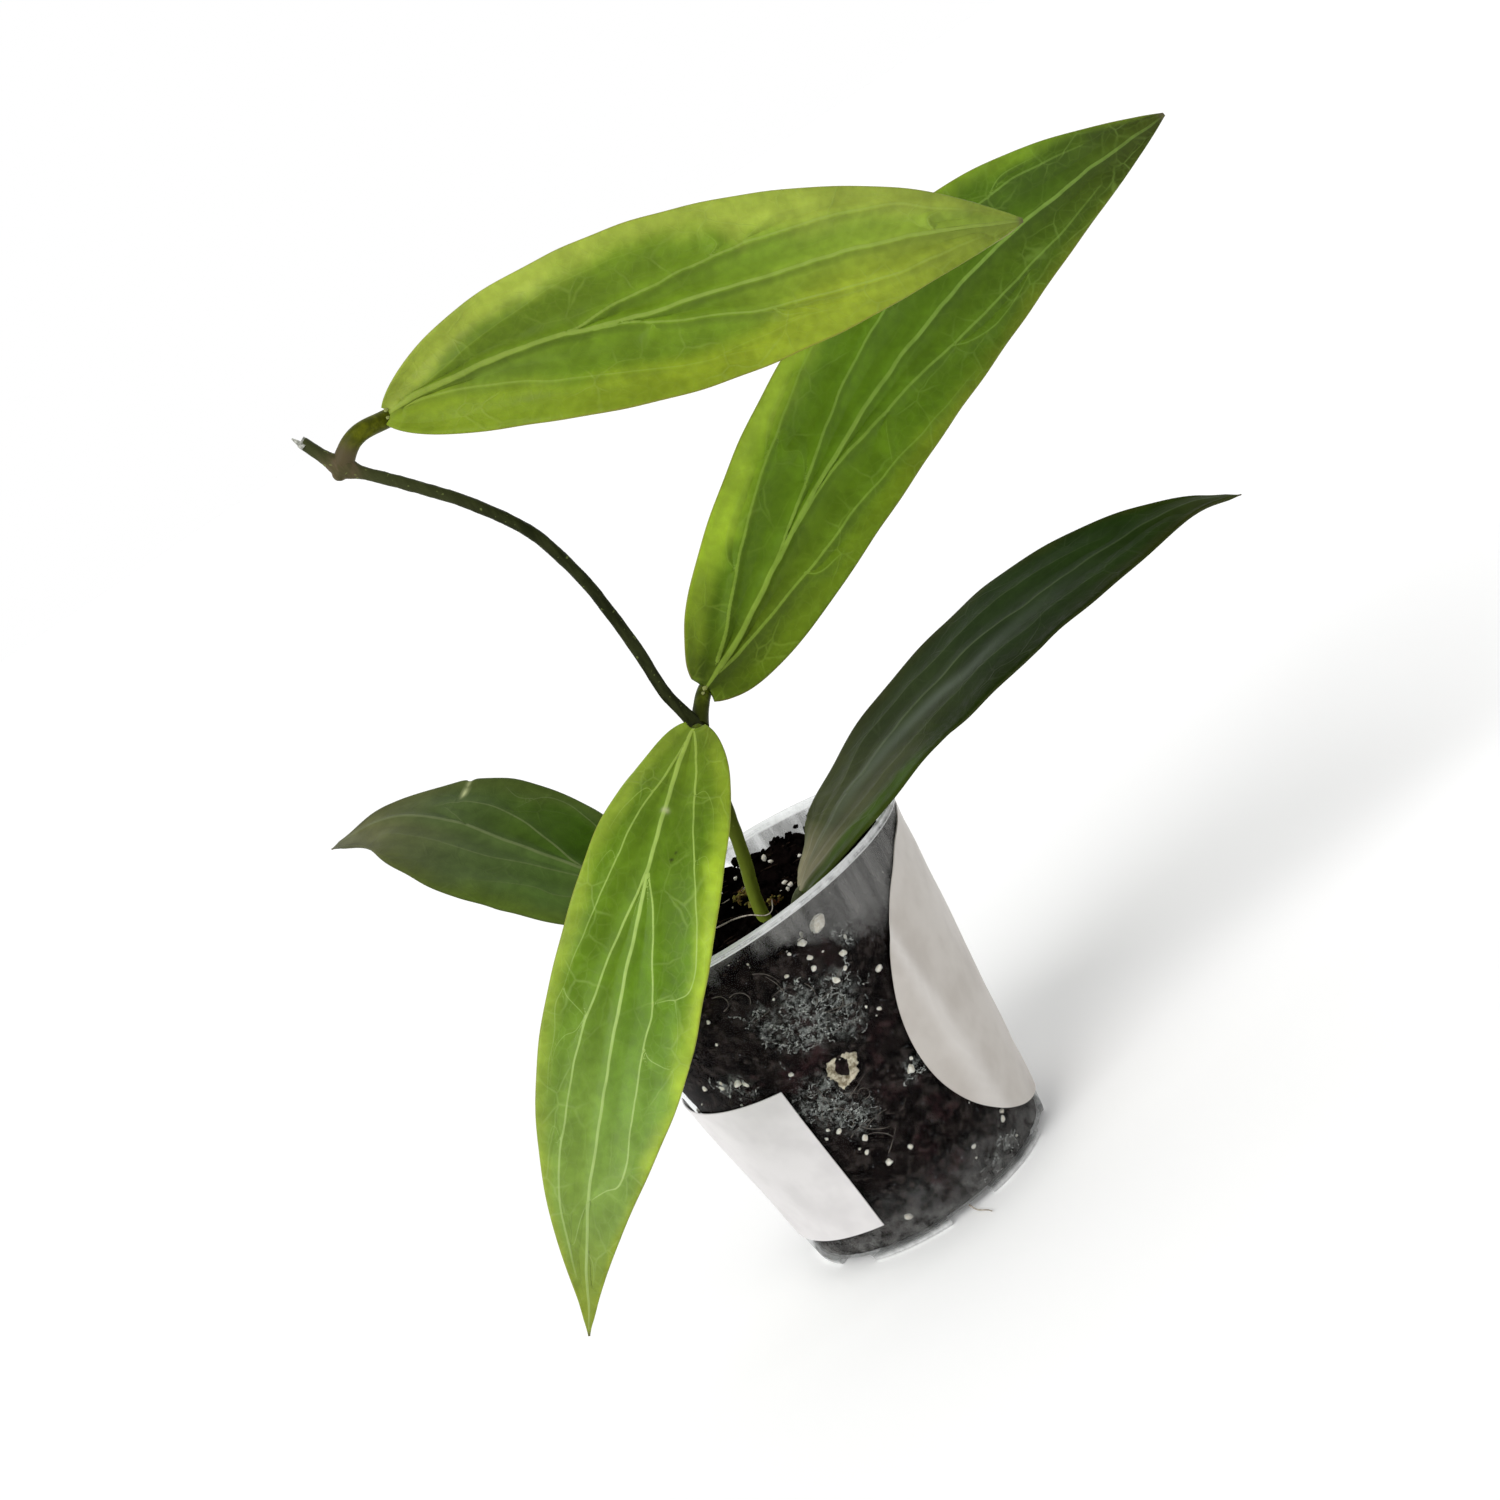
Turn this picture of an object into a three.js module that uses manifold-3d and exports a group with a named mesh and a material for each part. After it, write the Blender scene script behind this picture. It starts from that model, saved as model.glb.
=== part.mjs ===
// A young Hoya soligamiana with five long leaves, rooted in a clear 6 cm nursery pot.
// Millimetres, +Z up. The origin is the centre of the pot's underside, on the surface that
// the pot stands on, and the plant's front is towards -Y.

import * as THREE from 'three';
import { mergeVertices } from 'three/addons/utils/BufferGeometryUtils.js';
import Module from 'manifold-3d';

// Pot: thin clear plastic, a cone with a rolled lip and six feet between drain slots

const POT_HEIGHT = 60;
const LIP_RADIUS = 30;
const LIP_HEIGHT = 1.8;
const LIP_WIDTH = 1.1;
const LIP_CHAMFER = 0.4;
const WALL_TOP_RADIUS = 29.2;
const WALL_FOOT_RADIUS = 22.3;
const WALL_THICKNESS = 0.7;
const FOOT_CHAMFER = 0.5;
const BASE_THICKNESS = 0.8;
const POT_SEGMENTS = 72;
const DRAIN_SLOTS = 6;
const DRAIN_SLOT_WIDTH = 8.4;
const DRAIN_SLOT_HEIGHT = 1.5;
const DRAIN_SLOT_INNER_RADIUS = 19;
const DRAIN_FIRST_ANGLE = -80;

// Soil: a plug that fills the cone, level round the stem and higher at the wall and back left

const TOUCH_GAP = 0.3;
const SOIL_CENTRE_HEIGHT = 51;
const SOIL_WALL_RISE = 3.8;
const SOIL_TILT_X = -0.06;
const SOIL_TILT_Y = 0.06;
const SOIL_ROUGHNESS = 0.55;
const SOIL_CALM_POINT = [4, 2];
const SOIL_CALM_FROM = 5;
const SOIL_CALM_TO = 13;
const SOIL_FOOT_ROUNDING = 0.8;
const SOIL_SIDE_LEVELS = [0.03, 0.35, 0.7, 1];
const SOIL_RINGS = 8;
const SOIL_SEGMENTS = 40;

// Labels: two paper stickers that follow the wall

const LABEL_THICKNESS = 0.25;
const ROUND_LABEL_RADIUS = 26.6;
const ROUND_LABEL_HEIGHT = 31;
const ROUND_LABEL_ANGLE = -8;
const ROUND_LABEL_SEGMENTS = 40;
const ROUND_LABEL_RINGS = 4;
const PLAIN_LABEL_WIDTH = 30;
const PLAIN_LABEL_BOTTOM = 6;
const PLAIN_LABEL_TOP = 34.7;
const PLAIN_LABEL_ANGLE = -149;
const PLAIN_LABEL_ROWS = 4;
const PLAIN_LABEL_COLUMNS = 16;

// Stem: its route from the buried end to the cut tip, chosen by hand, and its thickness

const STEM_ROUTE = [
  [1.8, 4.5, 42],
  [1.2, 4, 52.8],
  [3.8, 0.8, 62.6],
  [5.6, -2.3, 70.1],
  [7.8, -5.3, 79.2],
  [9.4, -7, 86.6],
  [8.3, -7, 94],
  [8.4, -7, 102],
  [7.8, -7, 113.7],
  [6.1, -7, 122.7],
  [4, -7, 128.3],
  [-1, -7.5, 136.2],
  [-7.2, -8, 143.7],
  [-13.3, -8, 150.7],
  [-16.3, -8, 157],
];
const STEM_LOWER_RADIUS = 1.15;
const STEM_UPPER_RADIUS = 1;
const STEM_NARROWS_FROM = 80;
const STEM_NARROWS_TO = 95;
const STEM_SIDES = 8;
const STEM_STEPS = 66;

// Nodes of the stem: the stem's point there, the extra radius and half the swelling's length

const STEM_NODES = [
  { point: [1.5, 4.3, 46.5], extra: 0.8, reach: 2.2 },
  { point: [9.3, -6.9, 86], extra: 0.5, reach: 2 },
  { point: [-13.3, -8, 150.7], extra: 0.85, reach: 1.9 },
];

// The scar of a lost leaf on the upper node

const SCAR_POINT = [-14.3, -8, 150];
const SCAR_RADIUS = 1.2;
const SCAR_SIDES = 10;
const SCAR_RINGS = 7;

// Leaves: spine of the blade and route of the stalk, chosen by hand; half widths of the two
// sides; where the blade is widest and how full its base and tip are; the way it faces; the
// roll from base to tip, the fold of its halves, the lobes at its base and its waved edge

const LEAF_THICKNESS = 0.9;
const LEAF_ROWS = 28;
const LEAF_COLUMNS = 8;
const LEAF_FIRST_SHARE = 0.004;
const LEAF_LAST_SHARE = 0.992;
const FOLD_SOFTNESS = 0.14;
const FOLD_TURN = 3;
const LOBE_REACH = 0.05;
const STALK_SIDES = 8;
const STALK_STEPS = 10;
const STALK_FLARE = 0.25;
const STALK_FLARE_REACH = 0.12;
const STALK_FADE = 0.6;
const STALK_FADE_FROM = 0.6;
const LEAVES = [
  {
    name: 'leaf_middle',
    colour: 0x6c8f2a,
    spine: [
      [13.7, -4, 90.4],
      [23.5, 3, 93.7],
      [48.5, 12, 105.8],
      [71.5, 21, 114.6],
      [98.5, 28, 120.7],
      [133, 33, 122.6],
    ],
    stalk: [
      [10.6, -6.1, 87.3],
      [11.8, -5, 88.7],
      [13.7, -4, 90.4],
      [17.2, -1.4, 91.5],
      [21, 1.4, 92.8],
    ],
    stalkRadius: 1.25,
    halves: [16.2, 13.4],
    widest: 0.52,
    base: 0.42,
    taper: 0.9,
    face: [0, -1, 0.25],
    roll: [8, 10],
    fold: 8,
    lobes: [0.3, 1.6],
    wave: { size: 0.5, count: 2.5, phase: 0.4 },
  },
  {
    name: 'leaf_hanging',
    colour: 0x7da236,
    spine: [
      [9, -11.5, 87.6],
      [2.5, -20, 83.5],
      [-8, -31, 77],
      [-27, -38, 59.7],
      [-42.5, -42, 43],
      [-54, -42, 25.2],
    ],
    stalk: [
      [9.7, -8, 87.2],
      [9.8, -9.6, 88],
      [9, -11.5, 87.6],
      [6.5, -15, 86],
      [4, -18, 84.4],
    ],
    stalkRadius: 1.25,
    halves: [12.6, 10.8],
    widest: 0.5,
    base: 0.47,
    taper: 1.22,
    face: [0, -1, 0.1],
    roll: [19, 2],
    fold: 8,
    lobes: [1.2, 1.2],
    wave: { size: 0.5, count: 3, phase: 1.6 },
  },
  {
    name: 'leaf_upper',
    colour: 0x86a838,
    spine: [
      [-3.2, -7, 153.3],
      [16.5, -10, 150.6],
      [32, -12, 146.4],
      [52.5, -12, 140.5],
      [77.5, -10, 132.2],
      [95.2, -6, 124.3],
    ],
    stalk: [
      [-12.3, -8, 151.6],
      [-10.8, -8, 152.6],
      [-9, -8, 153.3],
      [-7, -8, 153.5],
      [-3.2, -7, 153.3],
      [5, -8, 152.7],
    ],
    stalkRadius: 1.45,
    halves: [13.9, 14.2],
    widest: 0.46,
    base: 0.57,
    taper: 0.86,
    face: [0, -1, 0.25],
    roll: [-4, -3],
    fold: 8,
    lobes: [1, 1.3],
    wave: { size: 0.6, count: 2.5, phase: 2.6 },
  },
  {
    name: 'leaf_old_right',
    colour: 0x2f4a26,
    spine: [
      [8.4, -5.7, 54.8],
      [19.1, -6.1, 61],
      [39.1, 3.9, 66.1],
      [61.6, 2.8, 71.7],
      [90.8, 2.3, 71.5],
      [104.9, 6.1, 66.1],
    ],
    stalk: [
      [5, -2.6, 47],
      [5.8, -3.9, 50.2],
      [7, -5.1, 53],
      [8.4, -5.7, 54.8],
      [10.6, -5.8, 56.1],
      [13.2, -5.9, 57.6],
    ],
    stalkRadius: 1.1,
    halves: [12.4, 16],
    widest: 0.49,
    base: 0.32,
    taper: 1.4,
    face: [0, -0.34, 0.94],
    roll: [-18, 9.6],
    fold: 3.6,
    lobes: [-1.2, -1.2],
    wave: { size: 0.58, count: 2.6, phase: -3.78 },
  },
  {
    name: 'leaf_old_left',
    colour: 0x4a5f30,
    spine: [
      [-5.4, 5, 59.7],
      [-17.5, 8, 72.4],
      [-25, 13, 81.8],
      [-36.3, 19, 92.4],
      [-44.2, 24, 96.6],
      [-54.2, 28, 97.4],
    ],
    stalk: [
      [-11.8, 7.6, 45],
      [-10.8, 7.2, 48.5],
      [-9.2, 6.5, 52],
      [-7.2, 5.7, 55.8],
      [-5.6, 5.1, 59.2],
      [-6.6, 5.3, 61.8],
      [-9.8, 6.2, 64.6],
    ],
    stalkRadius: 1.1,
    halves: [15.4, 13.5],
    widest: 0.56,
    base: 0.6,
    taper: 1.4,
    face: [0.3, -0.75, 0.65],
    roll: [9, 20],
    fold: 3,
    lobes: [0.8, 0.8],
    wave: { size: 0.5, count: 2, phase: 0.2 },
  },
];

const { degToRad, lerp, smoothstep } = THREE.MathUtils;
const FULL_TURN = Math.PI * 2;
const WALL_HEIGHT = POT_HEIGHT - LIP_HEIGHT;
const WALL_SLOPE = (WALL_TOP_RADIUS - WALL_FOOT_RADIUS) / WALL_HEIGHT;

const wasm = await Module();
wasm.setup();

const vector = (point) => new THREE.Vector3(...point);
const smoothCurve = (points) => new THREE.CatmullRomCurve3(points.map(vector), false, 'catmullrom', 0.5);
const wallRadius = (z) => WALL_FOOT_RADIUS + WALL_SLOPE * z;

// Closed meshes: a body from a stack of rings, and a body between two sheets of points

function meshGeometry(points, triangles) {
  const geometry = new THREE.BufferGeometry();
  const positions = points.flatMap((point) => [point.x, point.y, point.z]);
  geometry.setAttribute('position', new THREE.Float32BufferAttribute(positions, 3));
  geometry.setIndex(triangles.flat());
  return geometry;
}

function ringsGeometry(start, rings, end) {
  const sides = rings[0].length;
  const points = [start, ...rings.flat(), end];
  const last = points.length - 1;
  const triangles = [];
  for (let side = 0; side < sides; side++) {
    const next = (side + 1) % sides;
    triangles.push([0, 1 + next, 1 + side]);
    for (let ring = 0; ring < rings.length - 1; ring++) {
      const lower = 1 + ring * sides;
      const upper = lower + sides;
      triangles.push([lower + side, lower + next, upper + next]);
      triangles.push([lower + side, upper + next, upper + side]);
    }
    const top = last - sides;
    triangles.push([top + side, top + next, last]);
  }
  return meshGeometry(points, triangles);
}

function sheetGeometry(upper, lower) {
  const rows = upper.length;
  const columns = upper[0].length;
  const points = [...upper.flat(), ...lower.flat()];
  const under = rows * columns;
  const triangles = [];
  const quad = (a, b, c, d) => triangles.push([a, b, c], [a, c, d]);
  for (let row = 0; row < rows - 1; row++) {
    for (let column = 0; column < columns - 1; column++) {
      const a = row * columns + column;
      const b = a + 1;
      const c = b + columns;
      const d = a + columns;
      quad(a, b, c, d);
      triangles.push([under + a, under + c, under + b], [under + a, under + d, under + c]);
    }
    const left = row * columns;
    const right = left + columns - 1;
    quad(left, left + columns, under + left + columns, under + left);
    quad(right + columns, right, under + right, under + right + columns);
  }
  for (let column = 0; column < columns - 1; column++) {
    const far = (rows - 1) * columns + column;
    quad(column + 1, column, under + column, under + column + 1);
    quad(far, far + 1, under + far + 1, under + far);
  }
  return meshGeometry(points, triangles);
}

function sweptGeometry(route, radiusAt, steps, sides) {
  const curve = smoothCurve(route);
  const frames = curve.computeFrenetFrames(steps, false);
  const rings = [];
  for (let step = 0; step <= steps; step++) {
    const centre = curve.getPointAt(step / steps);
    const radius = radiusAt(step / steps, centre);
    const ring = [];
    for (let side = 0; side < sides; side++) {
      const angle = (side / sides) * FULL_TURN;
      const offset = frames.normals[step].clone().multiplyScalar(Math.cos(angle) * radius);
      offset.addScaledVector(frames.binormals[step], Math.sin(angle) * radius);
      ring.push(offset.add(centre));
    }
    rings.push(ring);
  }
  return ringsGeometry(curve.getPointAt(0), rings, curve.getPointAt(1));
}

// Solids for joining and cutting

function toSolid(geometry) {
  const bare = geometry.clone();
  bare.deleteAttribute('normal');
  bare.deleteAttribute('uv');
  const welded = mergeVertices(bare, 1e-5);
  const mesh = new wasm.Mesh({
    numProp: 3,
    vertProperties: new Float32Array(welded.attributes.position.array),
    triVerts: new Uint32Array(welded.index.array),
  });
  return new wasm.Manifold(mesh);
}

function fromSolid(solid) {
  const { vertProperties, triVerts } = solid.getMesh();
  const geometry = new THREE.BufferGeometry();
  geometry.setAttribute('position', new THREE.BufferAttribute(vertProperties, 3));
  geometry.setIndex(new THREE.BufferAttribute(triVerts, 1));
  return geometry;
}

const plant = new THREE.Group();

function addPiece(name, geometry, { colour, roughness, opacity = 1 }) {
  const material = new THREE.MeshStandardMaterial({
    color: colour,
    roughness,
    metalness: 0,
    opacity,
    transparent: opacity < 1,
  });
  geometry.computeVertexNormals();
  const mesh = new THREE.Mesh(geometry, material);
  mesh.name = name;
  plant.add(mesh);
}

// Pot: a turned profile, with the drain slots cut through the edge of its base

function potGeometry() {
  const innerFootRadius = WALL_FOOT_RADIUS - WALL_THICKNESS;
  const profile = [
    [0, 0],
    [WALL_FOOT_RADIUS - FOOT_CHAMFER, 0],
    [WALL_FOOT_RADIUS, FOOT_CHAMFER],
    [WALL_TOP_RADIUS, WALL_HEIGHT - LIP_CHAMFER / 2],
    [LIP_RADIUS, WALL_HEIGHT],
    [LIP_RADIUS, POT_HEIGHT - LIP_CHAMFER],
    [LIP_RADIUS - LIP_CHAMFER, POT_HEIGHT],
    [LIP_RADIUS - LIP_WIDTH, POT_HEIGHT],
    [WALL_TOP_RADIUS - WALL_THICKNESS, WALL_HEIGHT],
    [innerFootRadius, BASE_THICKNESS + FOOT_CHAMFER],
    [innerFootRadius - FOOT_CHAMFER, BASE_THICKNESS],
    [0, BASE_THICKNESS],
  ];
  const outline = profile.map(([radius, z]) => new THREE.Vector2(radius, z));
  const turned = new THREE.LatheGeometry(outline, POT_SEGMENTS);
  turned.rotateX(Math.PI / 2);
  let pot = toSolid(turned);
  const slotDepth = WALL_TOP_RADIUS - DRAIN_SLOT_INNER_RADIUS;
  for (let slot = 0; slot < DRAIN_SLOTS; slot++) {
    const cutter = new THREE.BoxGeometry(slotDepth, DRAIN_SLOT_WIDTH, 2 * DRAIN_SLOT_HEIGHT);
    cutter.translate(DRAIN_SLOT_INNER_RADIUS + slotDepth / 2, 0, 0);
    cutter.rotateZ(degToRad(DRAIN_FIRST_ANGLE) + (slot / DRAIN_SLOTS) * FULL_TURN);
    pot = pot.subtract(toSolid(cutter));
  }
  return fromSolid(pot);
}

// Soil: its height at a point, with crumbs as waves, and the plug from its foot to its top

function soilHeight(x, y) {
  const reach = Math.hypot(x, y) / WALL_TOP_RADIUS;
  const ground = SOIL_CENTRE_HEIGHT + SOIL_WALL_RISE * reach ** 2;
  const tilt = SOIL_TILT_X * x + SOIL_TILT_Y * y;
  const coarse = Math.sin(0.62 * x + 0.9) * Math.cos(0.55 * y - 0.4);
  const fine = Math.sin(1.3 * x - 0.7 * y + 2) + Math.cos(0.8 * x + 1.4 * y);
  const away = Math.hypot(x - SOIL_CALM_POINT[0], y - SOIL_CALM_POINT[1]);
  const calm = smoothstep(away, SOIL_CALM_FROM, SOIL_CALM_TO);
  return ground + tilt + SOIL_ROUGHNESS * calm * (coarse + 0.6 * fine);
}

function soilGeometry() {
  const floor = BASE_THICKNESS + TOUCH_GAP;
  const inside = (z) => wallRadius(z) - WALL_THICKNESS - TOUCH_GAP;
  const directions = [];
  for (let segment = 0; segment < SOIL_SEGMENTS; segment++) {
    const angle = (segment / SOIL_SEGMENTS) * FULL_TURN;
    directions.push([Math.cos(angle), Math.sin(angle)]);
  }
  const footRadius = inside(floor) - SOIL_FOOT_ROUNDING;
  const brimRadius = inside(SOIL_CENTRE_HEIGHT + SOIL_WALL_RISE);
  const brim = directions.map(([x, y]) => soilHeight(x * brimRadius, y * brimRadius));
  const rings = [directions.map(([x, y]) => new THREE.Vector3(x * footRadius, y * footRadius, floor))];
  for (const level of SOIL_SIDE_LEVELS) {
    rings.push(directions.map(([x, y], index) => {
      const z = lerp(floor, brim[index], level);
      return new THREE.Vector3(x * inside(z), y * inside(z), z);
    }));
  }
  for (let ring = SOIL_RINGS; ring > 0; ring--) {
    const share = ring / (SOIL_RINGS + 1);
    rings.push(directions.map(([x, y], index) => {
      const radius = inside(brim[index]) * share;
      return new THREE.Vector3(x * radius, y * radius, soilHeight(x * radius, y * radius));
    }));
  }
  return ringsGeometry(new THREE.Vector3(0, 0, floor), rings, new THREE.Vector3(0, 0, soilHeight(0, 0)));
}

// Labels: a point on the wall from its height and angle, lifted off the plastic

function onWall(angle, z, lift) {
  const radius = wallRadius(z) + lift;
  return new THREE.Vector3(Math.cos(angle) * radius, Math.sin(angle) * radius, z);
}

function roundLabelGeometry() {
  const slant = Math.atan(WALL_SLOPE);
  const centre = degToRad(ROUND_LABEL_ANGLE);
  const ringAt = (radius, lift) => {
    const ring = [];
    for (let step = 0; step < ROUND_LABEL_SEGMENTS; step++) {
      const turn = (step / ROUND_LABEL_SEGMENTS) * FULL_TURN;
      const z = ROUND_LABEL_HEIGHT + Math.sin(turn) * radius * Math.cos(slant);
      ring.push(onWall(centre + (Math.cos(turn) * radius) / wallRadius(z), z, lift));
    }
    return ring;
  };
  const back = [];
  const front = [];
  for (let ring = 1; ring <= ROUND_LABEL_RINGS; ring++) {
    const radius = (ring / ROUND_LABEL_RINGS) * ROUND_LABEL_RADIUS;
    back.push(ringAt(radius, TOUCH_GAP));
    front.unshift(ringAt(radius, TOUCH_GAP + LABEL_THICKNESS));
  }
  const middleBack = onWall(centre, ROUND_LABEL_HEIGHT, TOUCH_GAP);
  const middleFront = onWall(centre, ROUND_LABEL_HEIGHT, TOUCH_GAP + LABEL_THICKNESS);
  return ringsGeometry(middleBack, [...back, ...front], middleFront);
}

function plainLabelGeometry() {
  const middle = (PLAIN_LABEL_BOTTOM + PLAIN_LABEL_TOP) / 2;
  const spread = PLAIN_LABEL_WIDTH / wallRadius(middle);
  const centre = degToRad(PLAIN_LABEL_ANGLE);
  const sheet = (lift) => {
    const grid = [];
    for (let row = 0; row <= PLAIN_LABEL_ROWS; row++) {
      const z = lerp(PLAIN_LABEL_BOTTOM, PLAIN_LABEL_TOP, row / PLAIN_LABEL_ROWS);
      const line = [];
      for (let column = 0; column <= PLAIN_LABEL_COLUMNS; column++) {
        line.push(onWall(centre + spread * (column / PLAIN_LABEL_COLUMNS - 0.5), z, lift));
      }
      grid.push(line);
    }
    return grid;
  };
  return sheetGeometry(sheet(TOUCH_GAP + LABEL_THICKNESS), sheet(TOUCH_GAP));
}

// Stem: thicker below the first node, swollen at each node

function stemRadius(centre) {
  const narrowed = smoothstep(centre.z, STEM_NARROWS_FROM, STEM_NARROWS_TO);
  let radius = lerp(STEM_LOWER_RADIUS, STEM_UPPER_RADIUS, narrowed);
  for (const node of STEM_NODES) {
    const away = centre.distanceTo(vector(node.point)) / node.reach;
    radius += node.extra * Math.exp(-(away ** 2));
  }
  return radius;
}

function stemSolid(extra) {
  const radiusAt = (share, centre) => stemRadius(centre) + extra;
  const stem = sweptGeometry(STEM_ROUTE, radiusAt, STEM_STEPS, STEM_SIDES);
  const scar = new THREE.SphereGeometry(SCAR_RADIUS + extra, SCAR_SIDES, SCAR_RINGS);
  scar.translate(...SCAR_POINT);
  return toSolid(stem).add(toSolid(scar));
}

// Leaves: the blade's width along its length, its two faces, and its stalk

function bladeWidth(share, leaf) {
  if (share < leaf.widest) {
    return (1 - (1 - share / leaf.widest) ** 2) ** leaf.base;
  }
  const towardsTip = (share - leaf.widest) / (1 - leaf.widest);
  return Math.max(Math.cos((towardsTip * Math.PI) / 2), 0) ** leaf.taper;
}

function bladeGeometry(leaf) {
  const curve = smoothCurve(leaf.spine);
  const fold = degToRad(leaf.fold);
  const upper = [];
  const lower = [];
  for (let row = 0; row <= LEAF_ROWS; row++) {
    const even = row / LEAF_ROWS;
    const eased = (0.5 - 0.5 * Math.cos(Math.PI * even) + even) / 2;
    const share = lerp(LEAF_FIRST_SHARE, LEAF_LAST_SHARE, eased);
    const centre = curve.getPointAt(share);
    const along = curve.getTangentAt(share);
    const across = new THREE.Vector3().crossVectors(along, vector(leaf.face)).normalize();
    across.applyAxisAngle(along, degToRad(lerp(...leaf.roll, share)));
    const up = new THREE.Vector3().crossVectors(across, along);
    const width = bladeWidth(share, leaf);
    const lobeShare = Math.exp(-share / LOBE_REACH);
    const upperLine = [];
    const lowerLine = [];
    for (let column = 0; column <= LEAF_COLUMNS; column++) {
      const side = (2 * column) / LEAF_COLUMNS - 1;
      const hand = side < 0 ? 0 : 1;
      const edge = Math.abs(side);
      const half = leaf.halves[hand] * width;
      const ripple = Math.sin(FULL_TURN * leaf.wave.count * share + leaf.wave.phase + side);
      const wave = leaf.wave.size * width * ripple * edge ** 3;
      const rise = half * Math.sin(fold) * (Math.hypot(edge, FOLD_SOFTNESS) - FOLD_SOFTNESS);
      const point = centre.clone();
      point.addScaledVector(across, half * side * Math.cos(fold));
      point.addScaledVector(up, rise + wave);
      point.addScaledVector(along, -leaf.lobes[hand] * lobeShare * edge ** 2);
      const lean = Math.sign(side) * Math.sin(fold) * Math.min(edge * FOLD_TURN, 1);
      const normal = up.clone().addScaledVector(across, -lean).normalize();
      upperLine.push(point.clone().addScaledVector(normal, LEAF_THICKNESS / 2));
      lowerLine.push(point.clone().addScaledVector(normal, -LEAF_THICKNESS / 2));
    }
    upper.push(upperLine);
    lower.push(lowerLine);
  }
  return sheetGeometry(upper, lower);
}

function stalkSolid(leaf, extra) {
  const radiusAt = (share) => {
    const flare = 1 + STALK_FLARE * Math.exp(-share / STALK_FLARE_REACH);
    const fade = 1 - STALK_FADE * smoothstep(share, STALK_FADE_FROM, 1);
    return leaf.stalkRadius * flare * fade + extra;
  };
  return toSolid(sweptGeometry(leaf.stalk, radiusAt, STALK_STEPS, STALK_SIDES));
}

// The whole plant: plain holes in the soil for stem and stalks, and stalks clear of the stem

const stemClearance = stemSolid(TOUCH_GAP);

addPiece('pot', potGeometry(), { colour: 0xc9cdcc, roughness: 0.25, opacity: 0.35 });

let soil = toSolid(soilGeometry()).subtract(stemClearance);
for (const leaf of LEAVES) {
  soil = soil.subtract(stalkSolid(leaf, TOUCH_GAP));
}
addPiece('soil', fromSolid(soil), { colour: 0x1f1a17, roughness: 0.95 });

addPiece('label_round', roundLabelGeometry(), { colour: 0xcac5bf, roughness: 0.5 });
addPiece('label_plain', plainLabelGeometry(), { colour: 0xe4e2dd, roughness: 0.6 });
addPiece('stem', fromSolid(stemSolid(0)), { colour: 0x3c4b16, roughness: 0.55 });

for (const leaf of LEAVES) {
  const bladeAndStalk = toSolid(bladeGeometry(leaf)).add(stalkSolid(leaf, 0));
  const clear = bladeAndStalk.subtract(stemClearance);
  addPiece(leaf.name, fromSolid(clear), { colour: leaf.colour, roughness: 0.4 });
}

export default plant;
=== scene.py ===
import math
import random

import bpy
import numpy as np
from mathutils import Matrix, Vector, noise


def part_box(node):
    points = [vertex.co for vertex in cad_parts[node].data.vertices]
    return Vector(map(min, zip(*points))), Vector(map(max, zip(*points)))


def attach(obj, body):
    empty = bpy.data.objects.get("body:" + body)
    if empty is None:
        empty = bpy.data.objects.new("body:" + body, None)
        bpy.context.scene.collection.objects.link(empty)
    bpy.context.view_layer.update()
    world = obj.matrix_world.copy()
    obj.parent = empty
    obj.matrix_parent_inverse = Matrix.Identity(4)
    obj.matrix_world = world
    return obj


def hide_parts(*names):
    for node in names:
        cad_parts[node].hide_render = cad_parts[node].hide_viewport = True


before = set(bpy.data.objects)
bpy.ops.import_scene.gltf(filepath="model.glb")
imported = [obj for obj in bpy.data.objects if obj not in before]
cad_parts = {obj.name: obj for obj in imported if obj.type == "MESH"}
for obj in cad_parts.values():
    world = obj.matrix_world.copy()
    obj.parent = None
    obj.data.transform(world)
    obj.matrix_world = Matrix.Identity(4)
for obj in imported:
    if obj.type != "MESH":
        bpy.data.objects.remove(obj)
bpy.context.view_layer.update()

# Pot: a thin conical nursery pot pressed from clear plastic, gone slightly foggy with handling.
# Its lip is rolled outwards, a faint seam runs down the wall, and slots between its feet let
# the water out.

MM = 0.001
POT_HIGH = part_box("pot")[1] / MM
LIP_RADIUS = POT_HIGH.x
POT_HEIGHT = POT_HIGH.z
WALL_TOP_DROP = 1.8
WALL_HEIGHT = POT_HEIGHT - WALL_TOP_DROP
WALL_FOOT_RADIUS = 22.3
WALL_TOP_RADIUS = 29.2
WALL_THICKNESS = 0.7
BASE_THICKNESS = 0.8
POT_SEGMENTS = 320
WALL_RINGS = 26
LIP_BOTTOM = 58.75
LIP_GROOVE_DEPTH = 0.15
LIP_ROUNDING = 0.3
FOG_START = 56.5
FOG_FULL = 61.5
FOG_DROP = 13
FOG_DROP_FROM = -8
FOG_DROP_TO = 24
FOG_UNEVENNESS = 12
FOG_STRENGTH = (0.22, 0.6)
DUST_TOP = 13
DUST_STRENGTH = (0.05, 0.34)
FEET_TOP = 1.6
# How white the feet and the lip are painted: partly whitish plastic, partly painted highlight.
FEET_WHITE_AND_HIGHLIGHT = 0.65
LIP_WHITE_AND_HIGHLIGHT = 0.74
LIP_GROOVE_CLEARNESS = 0.58
LIP_FADE = 0.62
SEAM_ANGLE = math.radians(-50.5)
SEAM_WIDTH = 0.45
SEAM_HEIGHT = 0.09
WALL_WARP = 0.16
WALL_WARP_TURN = 0.8
DRAIN_SLOTS = 6
DRAIN_SLOT_WIDTH = 8.4
DRAIN_SLOT_HEIGHT = 1.5
DRAIN_SLOT_INNER_RADIUS = 19
DRAIN_SLOT_ROUNDING = 0.4
DRAIN_FIRST_ANGLE = math.radians(-80)


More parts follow.
